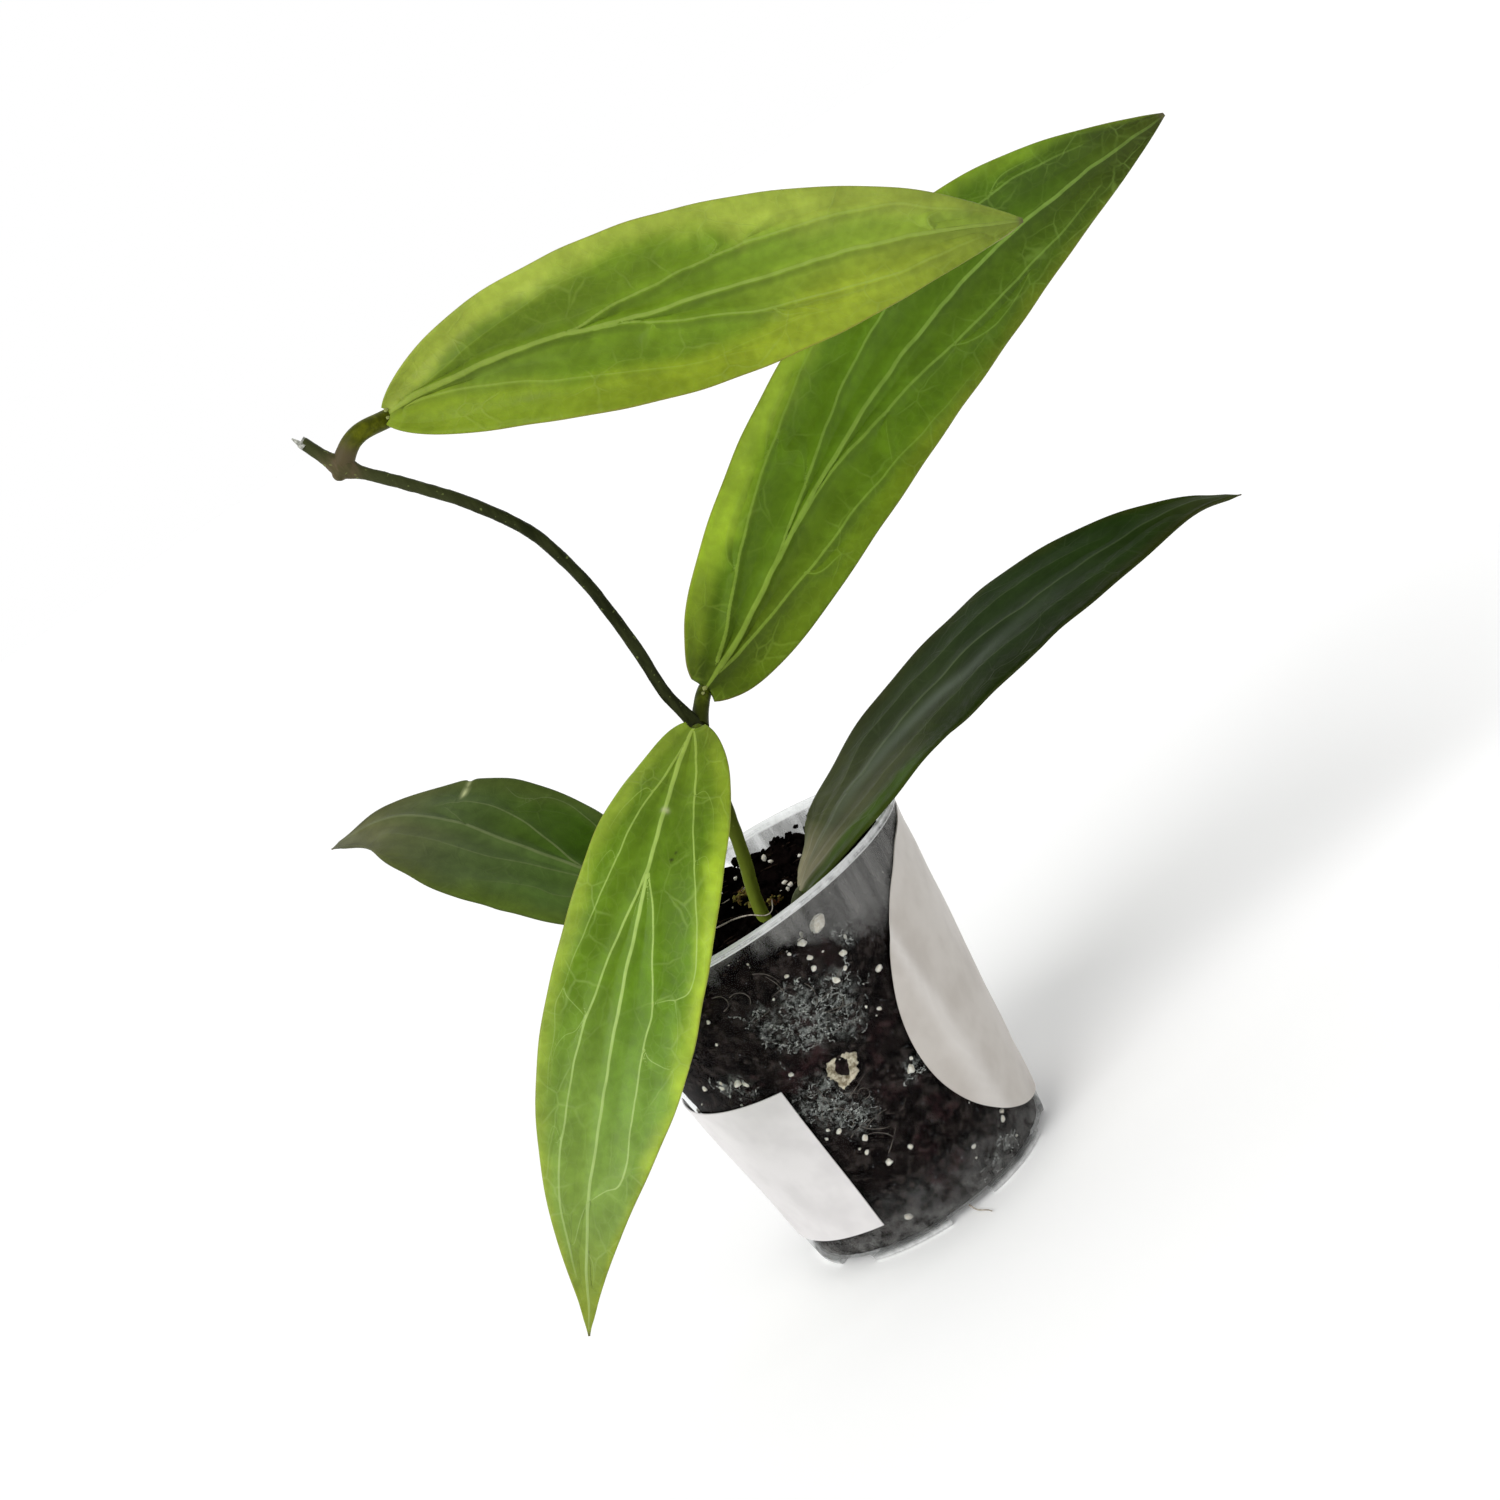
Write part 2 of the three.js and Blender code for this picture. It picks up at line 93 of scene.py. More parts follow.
def nothing_selected():
    """Leaves every object unselected, because an operator acts on all that is selected."""
    bpy.ops.object.select_all(action="DESELECT")


def wall_radius(height):
    """Outer radius of the pot's wall at a height, in mm."""
    return WALL_FOOT_RADIUS + (WALL_TOP_RADIUS - WALL_FOOT_RADIUS) * height / WALL_HEIGHT


def turned_solid(name, profile, segments):
    """A closed solid of rings, extruded one by one through the (radius, height) steps of a profile."""
    nothing_selected()
    radius, height = profile[0]
    bpy.ops.mesh.primitive_circle_add(
        vertices=segments, radius=radius * MM, location=(0, 0, height * MM), fill_type="NGON"
    )
    solid = bpy.context.object
    solid.name = name
    bpy.ops.object.transform_apply(location=True)
    bpy.ops.object.mode_set(mode="EDIT")
    bpy.ops.mesh.select_all(action="SELECT")
    for next_radius, next_height in profile[1:]:
        rise = (0, 0, (next_height - height) * MM)
        bpy.ops.mesh.extrude_region_move(TRANSFORM_OT_translate={"value": rise})
        growth = next_radius / radius
        bpy.ops.transform.resize(value=(growth, growth, 1), center_override=(0, 0, next_height * MM))
        radius, height = next_radius, next_height
    bpy.ops.mesh.select_all(action="SELECT")
    bpy.ops.mesh.normals_make_consistent(inside=False)
    bpy.ops.object.mode_set(mode="OBJECT")
    return solid


def points_of(piece):
    """The piece's vertices as rows of an array, in mm."""
    flat = np.empty(len(piece.data.vertices) * 3)
    piece.data.vertices.foreach_get("co", flat)
    return flat.reshape(-1, 3) / MM


def put_points(piece, points):
    """Moves the piece's vertices to the rows of an array, in mm."""
    piece.data.vertices.foreach_set("co", (np.asarray(points) * MM).ravel())
    piece.data.update()


def with_modifier(piece, kind, **settings):
    """Adds a modifier to the piece with these settings, and applies it."""
    bpy.context.view_layer.objects.active = piece
    modifier = piece.modifiers.new(kind.title(), kind)
    for setting, value in settings.items():
        setattr(modifier, setting, value)
    bpy.ops.object.modifier_apply(modifier=modifier.name)


def smooth(piece, angle=180):
    """Shades the piece smooth, apart from edges that turn by more than the angle in degrees."""
    nothing_selected()
    piece.select_set(True)
    bpy.context.view_layer.objects.active = piece
    bpy.ops.object.shade_smooth_by_angle(angle=math.radians(angle))


def settle(piece, material_slot, *nodes):
    """The piece moves with the plant and stands for those CAD nodes; the material slot is not used."""
    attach(piece, "root")
    if nodes:
        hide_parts(*nodes)


def paint(hexadecimal):
    """A colour as a screen shows it, such as 6c8f2a, as linear red, green, blue and alpha."""
    channels = [int(hexadecimal[place : place + 2], 16) / 255 for place in (0, 2, 4)]
    linear = [c / 12.92 if c <= 0.04045 else ((c + 0.055) / 1.055) ** 2.4 for c in channels]
    return (*linear, 1)


def new_finish(name):
    """An empty node material, and its tree."""
    material = bpy.data.materials.new(name)
    material.use_nodes = True
    material.node_tree.nodes.clear()
    return material, material.node_tree


def add(tree, kind, inputs, **settings):
    """A node of that kind, with each input linked to a socket or set to a value."""
    node = tree.nodes.new("ShaderNode" + kind)
    for setting, value in settings.items():
        setattr(node, setting, value)
    for key, value in inputs.items():
        if isinstance(value, bpy.types.NodeSocket):
            tree.links.new(value, node.inputs[key])
        else:
            node.inputs[key].default_value = value
    return node


def object_place(tree):
    """Where a point lies in the piece's own space."""
    return add(tree, "TexCoord", {}).outputs["Object"]


def speckle(tree, place, size, detail=3, roughness=0.55, stretch=(1, 1, 1)):
    """Noise from 0 to 1 whose blots are about size mm across on Object coordinates."""
    spread = add(tree, "Mapping", {"Vector": place, "Scale": stretch}).outputs[0]
    settings = {"Vector": spread, "Scale": 1 / (size * MM), "Detail": detail, "Roughness": roughness}
    return add(tree, "TexNoise", settings).outputs[0]


def eased(tree, value, low, high, start=0, end=1):
    """A value's smooth step from start to end, as it goes from low to high."""
    settings = {0: value, 1: low, 2: high, 3: start, 4: end}
    return add(tree, "MapRange", settings, interpolation_type="SMOOTHSTEP").outputs[0]


def worked(tree, operation, first, second):
    """The sum, product or the like of two values."""
    return add(tree, "Math", {0: first, 1: second}, operation=operation).outputs[0]


def times(tree, first, second):
    """The product of two values."""
    return worked(tree, "MULTIPLY", first, second)


def blended(tree, share, first, second, blend="MIX"):
    """The first colour with a share of the second in it."""
    return add(tree, "Mix", {0: share, 6: first, 7: second}, data_type="RGBA",
               blend_type=blend).outputs[2]


def finished(tree, shader):
    """Ends the material in that shader."""
    add(tree, "OutputMaterial", {"Surface": shader})


def clear_plastic():
    """Clear plastic: foggy and streaked near the top, dusty at its foot, and white along the lip and on
    the feet, partly as whitish plastic and partly as painted highlight.
    """
    material, tree = new_finish("clear_plastic")
    place = object_place(tree)
    sideways, _, height = add(tree, "SeparateXYZ", {0: place}).outputs
    uneven = worked(tree, "SUBTRACT", speckle(tree, place, 5, 5, 0.65), 0.5)
    drop = eased(tree, sideways, FOG_DROP_FROM * MM, FOG_DROP_TO * MM, 0, FOG_DROP * MM)
    level = worked(tree, "ADD", height, times(tree, uneven, FOG_UNEVENNESS * MM))
    top = eased(tree, worked(tree, "ADD", level, drop), FOG_START * MM, FOG_FULL * MM)
    bands = eased(tree, speckle(tree, place, 3, 4, stretch=(1, 1, 0.15)), 0.34, 0.64, *FOG_STRENGTH)
    foot = eased(tree, height, DUST_TOP * MM, 1 * MM)
    dust = eased(tree, speckle(tree, place, 2.2, 6, 0.65), 0.4, 0.62, *DUST_STRENGTH)
    fog = worked(tree, "ADD", times(tree, foot, dust), times(tree, top, bands))
    # The feet are painted white, partly as whitish plastic and partly as painted highlight on the rims
    # of the tabs.
    feet = eased(tree, height, FEET_TOP * MM, 0.3 * MM, 0, FEET_WHITE_AND_HIGHLIGHT)
    # The rolled lip is painted white on its two beads, with a clearer groove between them, and less
    # white towards the right. This is partly whitish plastic and partly painted highlight standing in
    # for the lines of light on the beads.
    lip = eased(tree, height, (LIP_BOTTOM - 0.2) * MM, (LIP_BOTTOM + 0.1) * MM)
    above = eased(tree, height, (LIP_BOTTOM + 0.3) * MM, (LIP_BOTTOM + 0.45) * MM)
    below = eased(tree, height, (POT_HEIGHT - 0.35) * MM, (POT_HEIGHT - 0.5) * MM)
    groove = times(tree, times(tree, above, below), LIP_GROOVE_CLEARNESS)
    edges = times(tree, lip, worked(tree, "SUBTRACT", LIP_WHITE_AND_HIGHLIGHT, groove))
    edges = times(tree, edges, eased(tree, sideways, -5 * MM, 18 * MM, 1, LIP_FADE))
    fog = worked(tree, "MAXIMUM", worked(tree, "ADD", fog, feet), edges)
    bright = worked(tree, "MAXIMUM", lip, feet)
    haze = blended(tree, bright, paint("8a8987"), paint("fafbfb"))
    open_part = add(tree, "BsdfTransparent", {"Color": (0.97, 0.98, 0.98, 1)}).outputs[0]
    dull = add(tree, "BsdfDiffuse", {"Color": haze}).outputs[0]
    film = add(tree, "MixShader", {0: fog, 1: open_part, 2: dull}).outputs[0]
    wear = speckle(tree, place, 3, 4)
    bump = add(tree, "Bump", {"Height": wear, "Strength": 0.05, "Distance": 0.3 * MM}).outputs[0]
    shine = add(tree, "BsdfGlossy", {"Roughness": 0.14, "Normal": bump}).outputs[0]
    mirrored = times(tree, add(tree, "Fresnel", {"IOR": 1.3, "Normal": bump}).outputs[0], 0.3)
    hidden = add(tree, "NewGeometry", {}).outputs["Backfacing"]
    mirrored = times(tree, mirrored, worked(tree, "SUBTRACT", 1, hidden))
    finished(tree, add(tree, "MixShader", {0: mirrored, 1: film, 2: shine}).outputs[0])
    return material


foot_ring = [(WALL_FOOT_RADIUS - 0.5, 0), (WALL_FOOT_RADIUS - 0.12, 0.12), (WALL_FOOT_RADIUS, 0.5)]
outer_wall = [
    (wall_radius(height), height) for height in np.linspace(0.5, LIP_BOTTOM - 0.1, WALL_RINGS)[1:]
]
rolled_lip = [
    (LIP_RADIUS - LIP_ROUNDING, LIP_BOTTOM),
    (LIP_RADIUS - 0.06, LIP_BOTTOM + 0.12),
    (LIP_RADIUS, LIP_BOTTOM + 0.35),
    (LIP_RADIUS - LIP_GROOVE_DEPTH, LIP_BOTTOM + 0.56),
    (LIP_RADIUS - LIP_GROOVE_DEPTH, LIP_BOTTOM + 0.7),
    (LIP_RADIUS, LIP_BOTTOM + 0.9),
    (LIP_RADIUS - 0.06, LIP_BOTTOM + 1.14),
    (LIP_RADIUS - LIP_ROUNDING, POT_HEIGHT),
    (LIP_RADIUS - 0.8, POT_HEIGHT),
    (LIP_RADIUS - 1.1, POT_HEIGHT - 0.2),
    (LIP_RADIUS - 1.35, POT_HEIGHT - 0.7),
]
inner_wall = [
    (wall_radius(height) - WALL_THICKNESS, height)
    for height in np.linspace(WALL_HEIGHT, BASE_THICKNESS + 0.5, WALL_RINGS)
]
inner_floor = [(WALL_FOOT_RADIUS - WALL_THICKNESS - 0.4, BASE_THICKNESS)]
pot = turned_solid("pot_shell", foot_ring + outer_wall + rolled_lip + inner_wall + inner_floor,
                   POT_SEGMENTS)

pot_points = points_of(pot)
pot_angle = np.arctan2(pot_points[:, 1], pot_points[:, 0])
pot_rise = np.clip(pot_points[:, 2] / POT_HEIGHT, 0, 1)
seam_away = np.abs(pot_angle - SEAM_ANGLE) * WALL_TOP_RADIUS / SEAM_WIDTH
pot_swell = SEAM_HEIGHT * np.exp(-(seam_away**2)) * (pot_points[:, 2] < LIP_BOTTOM - 0.5)
pot_swell += WALL_WARP * pot_rise**3 * np.sin(3 * pot_angle + WALL_WARP_TURN)
pot_swell *= np.hypot(pot_points[:, 0], pot_points[:, 1]) > WALL_FOOT_RADIUS - 1
pot_points[:, 0] += np.cos(pot_angle) * pot_swell
pot_points[:, 1] += np.sin(pot_angle) * pot_swell
put_points(pot, pot_points)

nothing_selected()
for slot in range(DRAIN_SLOTS):
    angle = DRAIN_FIRST_ANGLE + slot * 2 * math.pi / DRAIN_SLOTS
    depth = WALL_TOP_RADIUS - DRAIN_SLOT_INNER_RADIUS
    reach = DRAIN_SLOT_INNER_RADIUS + depth / 2
    bpy.ops.mesh.primitive_cube_add(
        size=1,
        location=(math.cos(angle) * reach * MM, math.sin(angle) * reach * MM, 0),
        rotation=(0, 0, angle),
        scale=(depth * MM, DRAIN_SLOT_WIDTH * MM, 2 * DRAIN_SLOT_HEIGHT * MM),
    )
    cutter = bpy.context.object
    with_modifier(cutter, "BEVEL", width=DRAIN_SLOT_ROUNDING * MM, segments=3)
    with_modifier(pot, "BOOLEAN", object=cutter, operation="DIFFERENCE", solver="EXACT")
    bpy.data.objects.remove(cutter)
smooth(pot, 40)
pot.data.materials.append(clear_plastic())
settle(pot, "clear_plastic", "pot")

# Soil: a plug of black peat with coconut fibre, pressed against the wall and loose on top. It
# is browner where it is drier, and films of white fungus threads grow over its side.

TOUCH_GAP = 0.3
SOIL_FLOOR = BASE_THICKNESS + TOUCH_GAP
SOIL_CENTRE_HEIGHT = 51
SOIL_WALL_RISE = 3.8
SOIL_BRIM = SOIL_CENTRE_HEIGHT + SOIL_WALL_RISE
SOIL_SEGMENTS = 260
SOIL_SIDE_RINGS = 56
SOIL_TOP_RINGS = 60
SOIL_TILT = 0.06
MOUND_HEIGHT = 0.55
BANK_HEIGHT = 1.8
BANK_ANGLE = math.radians(-92)
BANK_SPREAD = math.radians(32)
CLOD_SIZE = 3.2
CLOD_HEIGHT = 0.8
CRUMB_SIZE = 1.1
CRUMB_HEIGHT = 0.35
WEB_REACH = 1.5
FUNGUS = [  # angle, height, spread and number of threads of each patch
    (-91.7, 44.5, 2.6, 35),
    (-92.5, 40.2, 1.8, 20),
    (-98.5, 41, 1.9, 20),
    (-104.6, 46.6, 1.6, 15),
    (-105.6, 43.5, 1.2, 9),
    (-81, 43.6, 2.6, 30),
    (-80.6, 39.2, 2.2, 15),
    (-92, 48, 1.4, 10),
    (-77, 45.6, 1.2, 8),
    (-66.4, 49.6, 1.1, 6),
    (-68.5, 51.8, 0.9, 4),
    (-105, 30.8, 2.4, 20),
    (-103, 27, 2.6, 22),
    (-98, 24.4, 2.2, 13),
    (-111, 29.5, 1.6, 11),
    (-128.6, 37.6, 1.8, 11),
    (-136.2, 38.4, 0.9, 5),
    (-70.4, 25.4, 1.4, 6),
    (-50, 4.6, 1.4, 8),
    (-60.5, 3.6, 1.2, 6),
    (60, 33, 4, 30),
    (118, 22, 3.4, 25),
    (160, 40, 3, 20),
]


def soil_height(x, y):
    """Height of the soil's top at a place, as in the solid, without its crumbs."""
    reach = np.hypot(x, y) / WALL_TOP_RADIUS
    ground = SOIL_CENTRE_HEIGHT + SOIL_WALL_RISE * reach**2 - SOIL_TILT * x + SOIL_TILT * y
    coarse = np.sin(0.62 * x + 0.9) * np.cos(0.55 * y - 0.4)
    fine = np.sin(1.3 * x - 0.7 * y + 2) + np.cos(0.8 * x + 1.4 * y)
    away = np.clip((np.hypot(x - 4, y - 2) - 5) / 8, 0, 1)
    calm = away**2 * (3 - 2 * away)
    bank = BANK_HEIGHT * np.exp(-(((np.arctan2(y, x) - BANK_ANGLE) / BANK_SPREAD) ** 2))
    mounds = MOUND_HEIGHT * calm * (coarse + 0.6 * fine)
    return ground + mounds + bank * np.clip((reach - 0.76) / 0.2, 0, 1)


def rough(points, size, layers=4):
    """Fractal noise about zero at each row of points, with lumps of about that size in mm."""
    return np.array([noise.fractal(Vector(p) / size, 0.8, 2.1, layers) for p in points])


def inside(height):
    """Radius of the soil at a height, just clear of the wall."""
    return wall_radius(height) - WALL_THICKNESS - TOUCH_GAP


def wall_place(angle, height, depth=0.25):
    """A place in the soil against the wall, at an angle in degrees and a height."""
    turn = math.radians(angle)
    reach = inside(height) - depth
    return (math.cos(turn) * reach, math.sin(turn) * reach, height)


def keep_values(piece, name, values):
    """Stores a value for each of the piece's points, for its material to read."""
    kept = piece.data.attributes.new(name, "FLOAT", "POINT")
    kept.data.foreach_set("value", np.asarray(values, np.float32))


def stored(tree, name):
    """The value that keep_values stored under that name."""
    return add(tree, "Attribute", {}, attribute_name=name).outputs["Fac"]


def mixed_in(tree, colour, added_colour, share, strength=1):
    """The colour with a share of another colour, such as 3a3331, in it, which may be made weaker. It
    lays real marks, and also painted highlights and sheen.
    """
    if strength != 1:
        share = times(tree, share, strength)
    return blended(tree, share, colour, paint(added_colour))


def shaded(tree, colour, tone):
    """The colour, darker where the tone is under 1."""
    return blended(tree, 1, colour, tone, "MULTIPLY")


def skinned(tree, colour, roughness, relief, strength, depth, more):
    """Ends the material in a skin of that colour, with relief depth mm deep and more settings."""
    bump = add(tree, "Bump", {"Height": relief, "Strength": strength, "Distance": depth * MM})
    surface = {"Base Color": colour, "Roughness": roughness, "Normal": bump.outputs[0], **more}
    finished(tree, add(tree, "BsdfPrincipled", surface).outputs[0])


def peat():
    """Black peat with brown patches and fibres, and films of white threads here and there."""
    material, tree = new_finish("peat")
    place = object_place(tree)
    side = stored(tree, "side")
    grains = speckle(tree, place, 0.9, 5, 0.75)
    browner = eased(tree, speckle(tree, place, 4, 5), 0.42, 0.64)
    colour = blended(tree, browner, paint("050303"), paint("1a1312"))
    clods = times(tree, eased(tree, speckle(tree, place, 1.8, 7, 0.75), 0.48, 0.62), side)
    colour = mixed_in(tree, colour, "3a3331", clods, 0.8)
    purple = times(tree, eased(tree, speckle(tree, place, 9, 4, 0.65), 0.55, 0.66), side)
    purple = times(tree, purple, eased(tree, grains, 0.42, 0.62, 0.1, 1))
    colour = mixed_in(tree, colour, "3a2326", purple, 0.85)
    crumbly = times(tree, eased(tree, grains, 0.54, 0.74), eased(tree, side, 0, 1, 0.1, 0.6))
    colour = mixed_in(tree, colour, "544843", crumbly)
    fluff = eased(tree, speckle(tree, place, 1.1, 8, 0.8), 0.47, 0.62)
    film = times(tree, fluff, eased(tree, stored(tree, "web"), 0.1, 0.9))
    colour = mixed_in(tree, colour, "9a9c98", film, 0.85)
    dust = times(tree, eased(tree, speckle(tree, place, 0.6, 3), 0.67, 0.73), side)
    colour = mixed_in(tree, colour, "85868a", dust, 0.5)
    colour = shaded(tree, colour, eased(tree, side, 0, 1, 0.6, 1))
    skinned(tree, colour, 1, grains, 0.9, 0.6, {"Specular IOR Level": 0})
    return material


soil_profile = [(inside(SOIL_FLOOR) - 0.8, SOIL_FLOOR)]
soil_profile += [(inside(z), z) for z in np.linspace(SOIL_FLOOR + 0.4, SOIL_BRIM, SOIL_SIDE_RINGS)]
soil_profile += [
    (inside(SOIL_BRIM) * share, SOIL_BRIM + 1) for share in np.linspace(0.99, 0.008, SOIL_TOP_RINGS)
]
soil = turned_solid("soil_plug", soil_profile, SOIL_SEGMENTS)
soil_points = points_of(soil)
soil_reach = np.hypot(soil_points[:, 0], soil_points[:, 1])
soil_angle = np.arctan2(soil_points[:, 1], soil_points[:, 0])
on_top = soil_points[:, 2] > SOIL_BRIM + 0.5
brim = soil_height(np.cos(soil_angle) * inside(SOIL_BRIM), np.sin(soil_angle) * inside(SOIL_BRIM))
crumbs = rough(soil_points, CLOD_SIZE) * CLOD_HEIGHT
crumbs += rough(soil_points + 50, CRUMB_SIZE) * CRUMB_HEIGHT
side_share = (soil_points[:, 2] - SOIL_FLOOR) / (SOIL_BRIM - SOIL_FLOOR)
side_height = SOIL_FLOOR + side_share * (brim - SOIL_FLOOR)
top_height = soil_height(soil_points[:, 0], soil_points[:, 1]) + crumbs
new_height = np.where(on_top, np.minimum(top_height, POT_HEIGHT - 1), side_height)
new_reach = np.where(on_top, soil_reach, inside(side_height) - np.clip(crumbs - 0.1, 0, 1) * 0.8)
new_reach = np.where(side_share < 0.002, soil_reach, new_reach)
soil_points = np.column_stack(
    [np.cos(soil_angle) * new_reach, np.sin(soil_angle) * new_reach, new_height]
)
put_points(soil, soil_points)

web = np.zeros(len(soil_points))
for angle, height, spread, _ in FUNGUS:
    away = np.linalg.norm(soil_points - wall_place(angle, height, 0), axis=1)
    web = np.maximum(web, np.exp(-((away / (WEB_REACH * spread)) ** 2)))
keep_values(soil, "side", np.where(on_top, 0, 1))
keep_values(soil, "web", web)
smooth(soil)
soil.data.materials.append(peat())
settle(soil, "soil", "soil")

# Loose bits: crumbs of peat and bark fibres lie on the soil, and crumbs cling to the wall above
# it. White perlite is scattered on it and behind the wall, where a ring-shaped chip of wood sits
# too, and tufts of brown moss grow near the stem.

CRUMBS_ON_TOP = 420
CRUMBS_AT_WALL = 150
BARK_FIBRES = 130
PERLITE_ON_TOP = 46
PERLITE_BEHIND_WALL = 120
SOIL_TOP_RADIUS = 27.2
scatter = random.Random(7)


def chunk(name, detail, lumps, seed, kept=1):
    """One rough grain about 1 mm across, with this share of its faces kept."""
    nothing_selected()
    bpy.ops.mesh.primitive_ico_sphere_add(subdivisions=detail, radius=0.5 * MM)
    grain = bpy.context.object
    grain.name = name
    points = points_of(grain)
    put_points(grain, points * (1 + lumps * rough(points + seed, 0.6, 3))[:, None])
    if kept < 1:
        with_modifier(grain, "DECIMATE", ratio=kept)
    return grain


def strewn(name, grain, places):
    """One piece of copies of a grain, each turned and sized at its (place, stretch, turn)."""
    nothing_selected()
    for place, stretch, turn in places:
        copy = grain.copy()
        copy.data = grain.data.copy()
        spun = Matrix.Rotation(turn[0], 4, "X") @ Matrix.Rotation(turn[1], 4, "Y")
        spun = Matrix.Rotation(turn[2], 4, "Z") @ spun
        moved = Matrix.Translation(Vector(place) * MM) @ spun
        copy.data.transform(moved @ Matrix.Diagonal((*stretch, 1)))
        bpy.context.collection.objects.link(copy)
        copy.select_set(True)
        bpy.context.view_layer.objects.active = copy
    bpy.ops.object.join()
    bpy.data.objects.remove(grain)
    bpy.context.object.name = name
    return bpy.context.object


def any_turn():
    """Three random angles."""
    return [scatter.uniform(0, 2 * math.pi) for _ in range(3)]


def top_place(sunk=0.0):
    """A random place on the soil's top."""
    reach = SOIL_TOP_RADIUS * math.sqrt(scatter.random())
    angle = scatter.uniform(0, 2 * math.pi)
    x, y = math.cos(angle) * reach, math.sin(angle) * reach
    return (x, y, float(soil_height(x, y)) - sunk)


def grainy(name, dark, pale, size, roughness, gloss=0.2):
    """A dull mineral or bark surface of two colours."""
    material, tree = new_finish(name)
    grain = speckle(tree, object_place(tree), size, 5, 0.65)
    colour = blended(tree, eased(tree, grain, 0.35, 0.65), paint(dark), paint(pale))
    skinned(tree, colour, roughness, grain, 0.6, 0.3, {"Specular IOR Level": gloss})
    return material


crumb_places = []
for _ in range(CRUMBS_ON_TOP):
    size = scatter.uniform(0.7, 2.4)
    stretch = (size, size * scatter.uniform(0.6, 1), size * scatter.uniform(0.5, 0.9))
    crumb_places.append((top_place(-0.1), stretch, any_turn()))
for _ in range(CRUMBS_AT_WALL):
    angle = scatter.gauss(95, 42)
    height = SOIL_BRIM - 0.6 + min(abs(scatter.gauss(0, 1.5)), 3.4)
    size = scatter.uniform(0.5, 1.7) * (1.3 - (height - SOIL_BRIM) / 6)
    place = wall_place(angle, height, 0.35 * size - 0.15)
    crumb_places.append((place, (size * 0.8, size, size), any_turn()))
crumb = strewn("soil_crumbs", chunk("crumb", 2, 0.7, 3, 0.5), crumb_places)
smooth(crumb, 50)
crumb.data.materials.append(grainy("dark_crumbs", "020202", "110d0c", 0.8, 1, 0))
settle(crumb, "soil")

fibre_places = []
for _ in range(BARK_FIBRES):
    length = scatter.uniform(2.5, 6)
    stretch = (length, scatter.uniform(0.2, 0.55), scatter.uniform(0.2, 0.45))
    lean = (0, scatter.uniform(-0.35, 0.35), scatter.uniform(0, 2 * math.pi))
    fibre_places.append((top_place(-0.3), stretch, lean))
fibres = strewn("bark_fibres", chunk("fibre", 2, 0.5, 11, 0.5), fibre_places)
smooth(fibres, 50)
fibres.data.materials.append(grainy("bark", "0e0907", "2c2018", 0.7, 0.95, 0.05))
settle(fibres, "soil")

SEEN_PERLITE = [  # place and size
    (wall_place(-72.4, 54.6, 0.35), 2.7),
    (wall_place(-79.7, 53.6, 0.4), 1.7),
    (wall_place(-85.6, 53.4), 0.9),
    (wall_place(-66.8, 50.1), 0.8),
    (wall_place(-70.4, 48.2), 1.3),
    (wall_place(-80.7, 51), 1.2),
    (wall_place(-75.7, 50.4), 0.6),
    (wall_place(-90.3, 50.6), 1),
    (wall_place(-72.4, 46), 0.9),
    (wall_place(-77.5, 45.4), 1.5),
    (wall_place(-98.9, 48.2), 0.5),
    (wall_place(-121.4, 50.2), 0.8),
    (wall_place(-108.7, 36.1), 0.8),
    (wall_place(-71.5, 25.6), 1.7),
    (wall_place(-136.4, 38.5), 1.1),
    (wall_place(-128.4, 38.4), 1.4),
    (wall_place(-125.6, 37.8), 1.2),
    ((6.1, 25.2, 55.1), 1.2),
    ((6.8, 21.6, 54.8), 0.8),
    ((0.2, 22.4, 55.5), 0.9),
    ((7, 12.6, 52.7), 0.9),
    ((7.6, 10.8, 52.4), 1),
    ((6.9, 9, 52.4), 0.7),
    ((11.5, 18.8, 53.6), 0.8),
]
perlite_places = []
for place, size in SEEN_PERLITE:
    perlite_places.append((place, (size, size * 0.9, size * 0.8), any_turn()))
for _ in range(PERLITE_ON_TOP):
    size = scatter.uniform(0.25, 0.8)
    perlite_places.append((top_place(-0.15), (size, size, size * 0.8), any_turn()))
for _ in range(PERLITE_BEHIND_WALL):
    size = scatter.triangular(0.2, 1.3, 0.3)
    place = wall_place(scatter.uniform(-180, 180), scatter.uniform(3, 50), 0.1)
    perlite_places.append((place, (size, size, size), any_turn()))
perlite = strewn("perlite", chunk("perlite_grain", 2, 0.55, 23, 0.6), perlite_places)
smooth(perlite, 60)
perlite.data.materials.append(grainy("perlite_white", "d8cfbe", "f6f3ea", 0.5, 0.85))
settle(perlite, "soil")

RING_ANGLE = -92
RING_HEIGHT = 32.8
RING_RADIUS = 1.75
RING_THICKNESS = 1.24
RING_STRETCH = (1, 1.35, 0.6)
RING_LEAN = -0.5
nothing_selected()
bpy.ops.mesh.primitive_torus_add(
    major_segments=72,
    minor_segments=20,
    major_radius=RING_RADIUS * MM,
    minor_radius=RING_THICKNESS / 2 * MM,
)
ring = bpy.context.object
ring.name = "ring_chip"
ring_points = points_of(ring) * RING_STRETCH
ring_points *= (1 + 0.3 * rough(ring_points + 5, 1.1))[:, None]
put_points(ring, ring_points)
ring_place = Vector(wall_place(RING_ANGLE, RING_HEIGHT, 0.12)) * MM
facing_out = Vector((*wall_place(RING_ANGLE, RING_HEIGHT)[:2], 0)).to_track_quat("Z", "Y")
leaning = facing_out.to_matrix().to_4x4() @ Matrix.Rotation(RING_LEAN, 4, "Z")
ring.data.transform(Matrix.Translation(ring_place) @ leaning)
smooth(ring)
ring.data.materials.append(grainy("dry_chip", "7d6f57", "dcd2bb", 0.9, 0.9))
settle(ring, "soil")

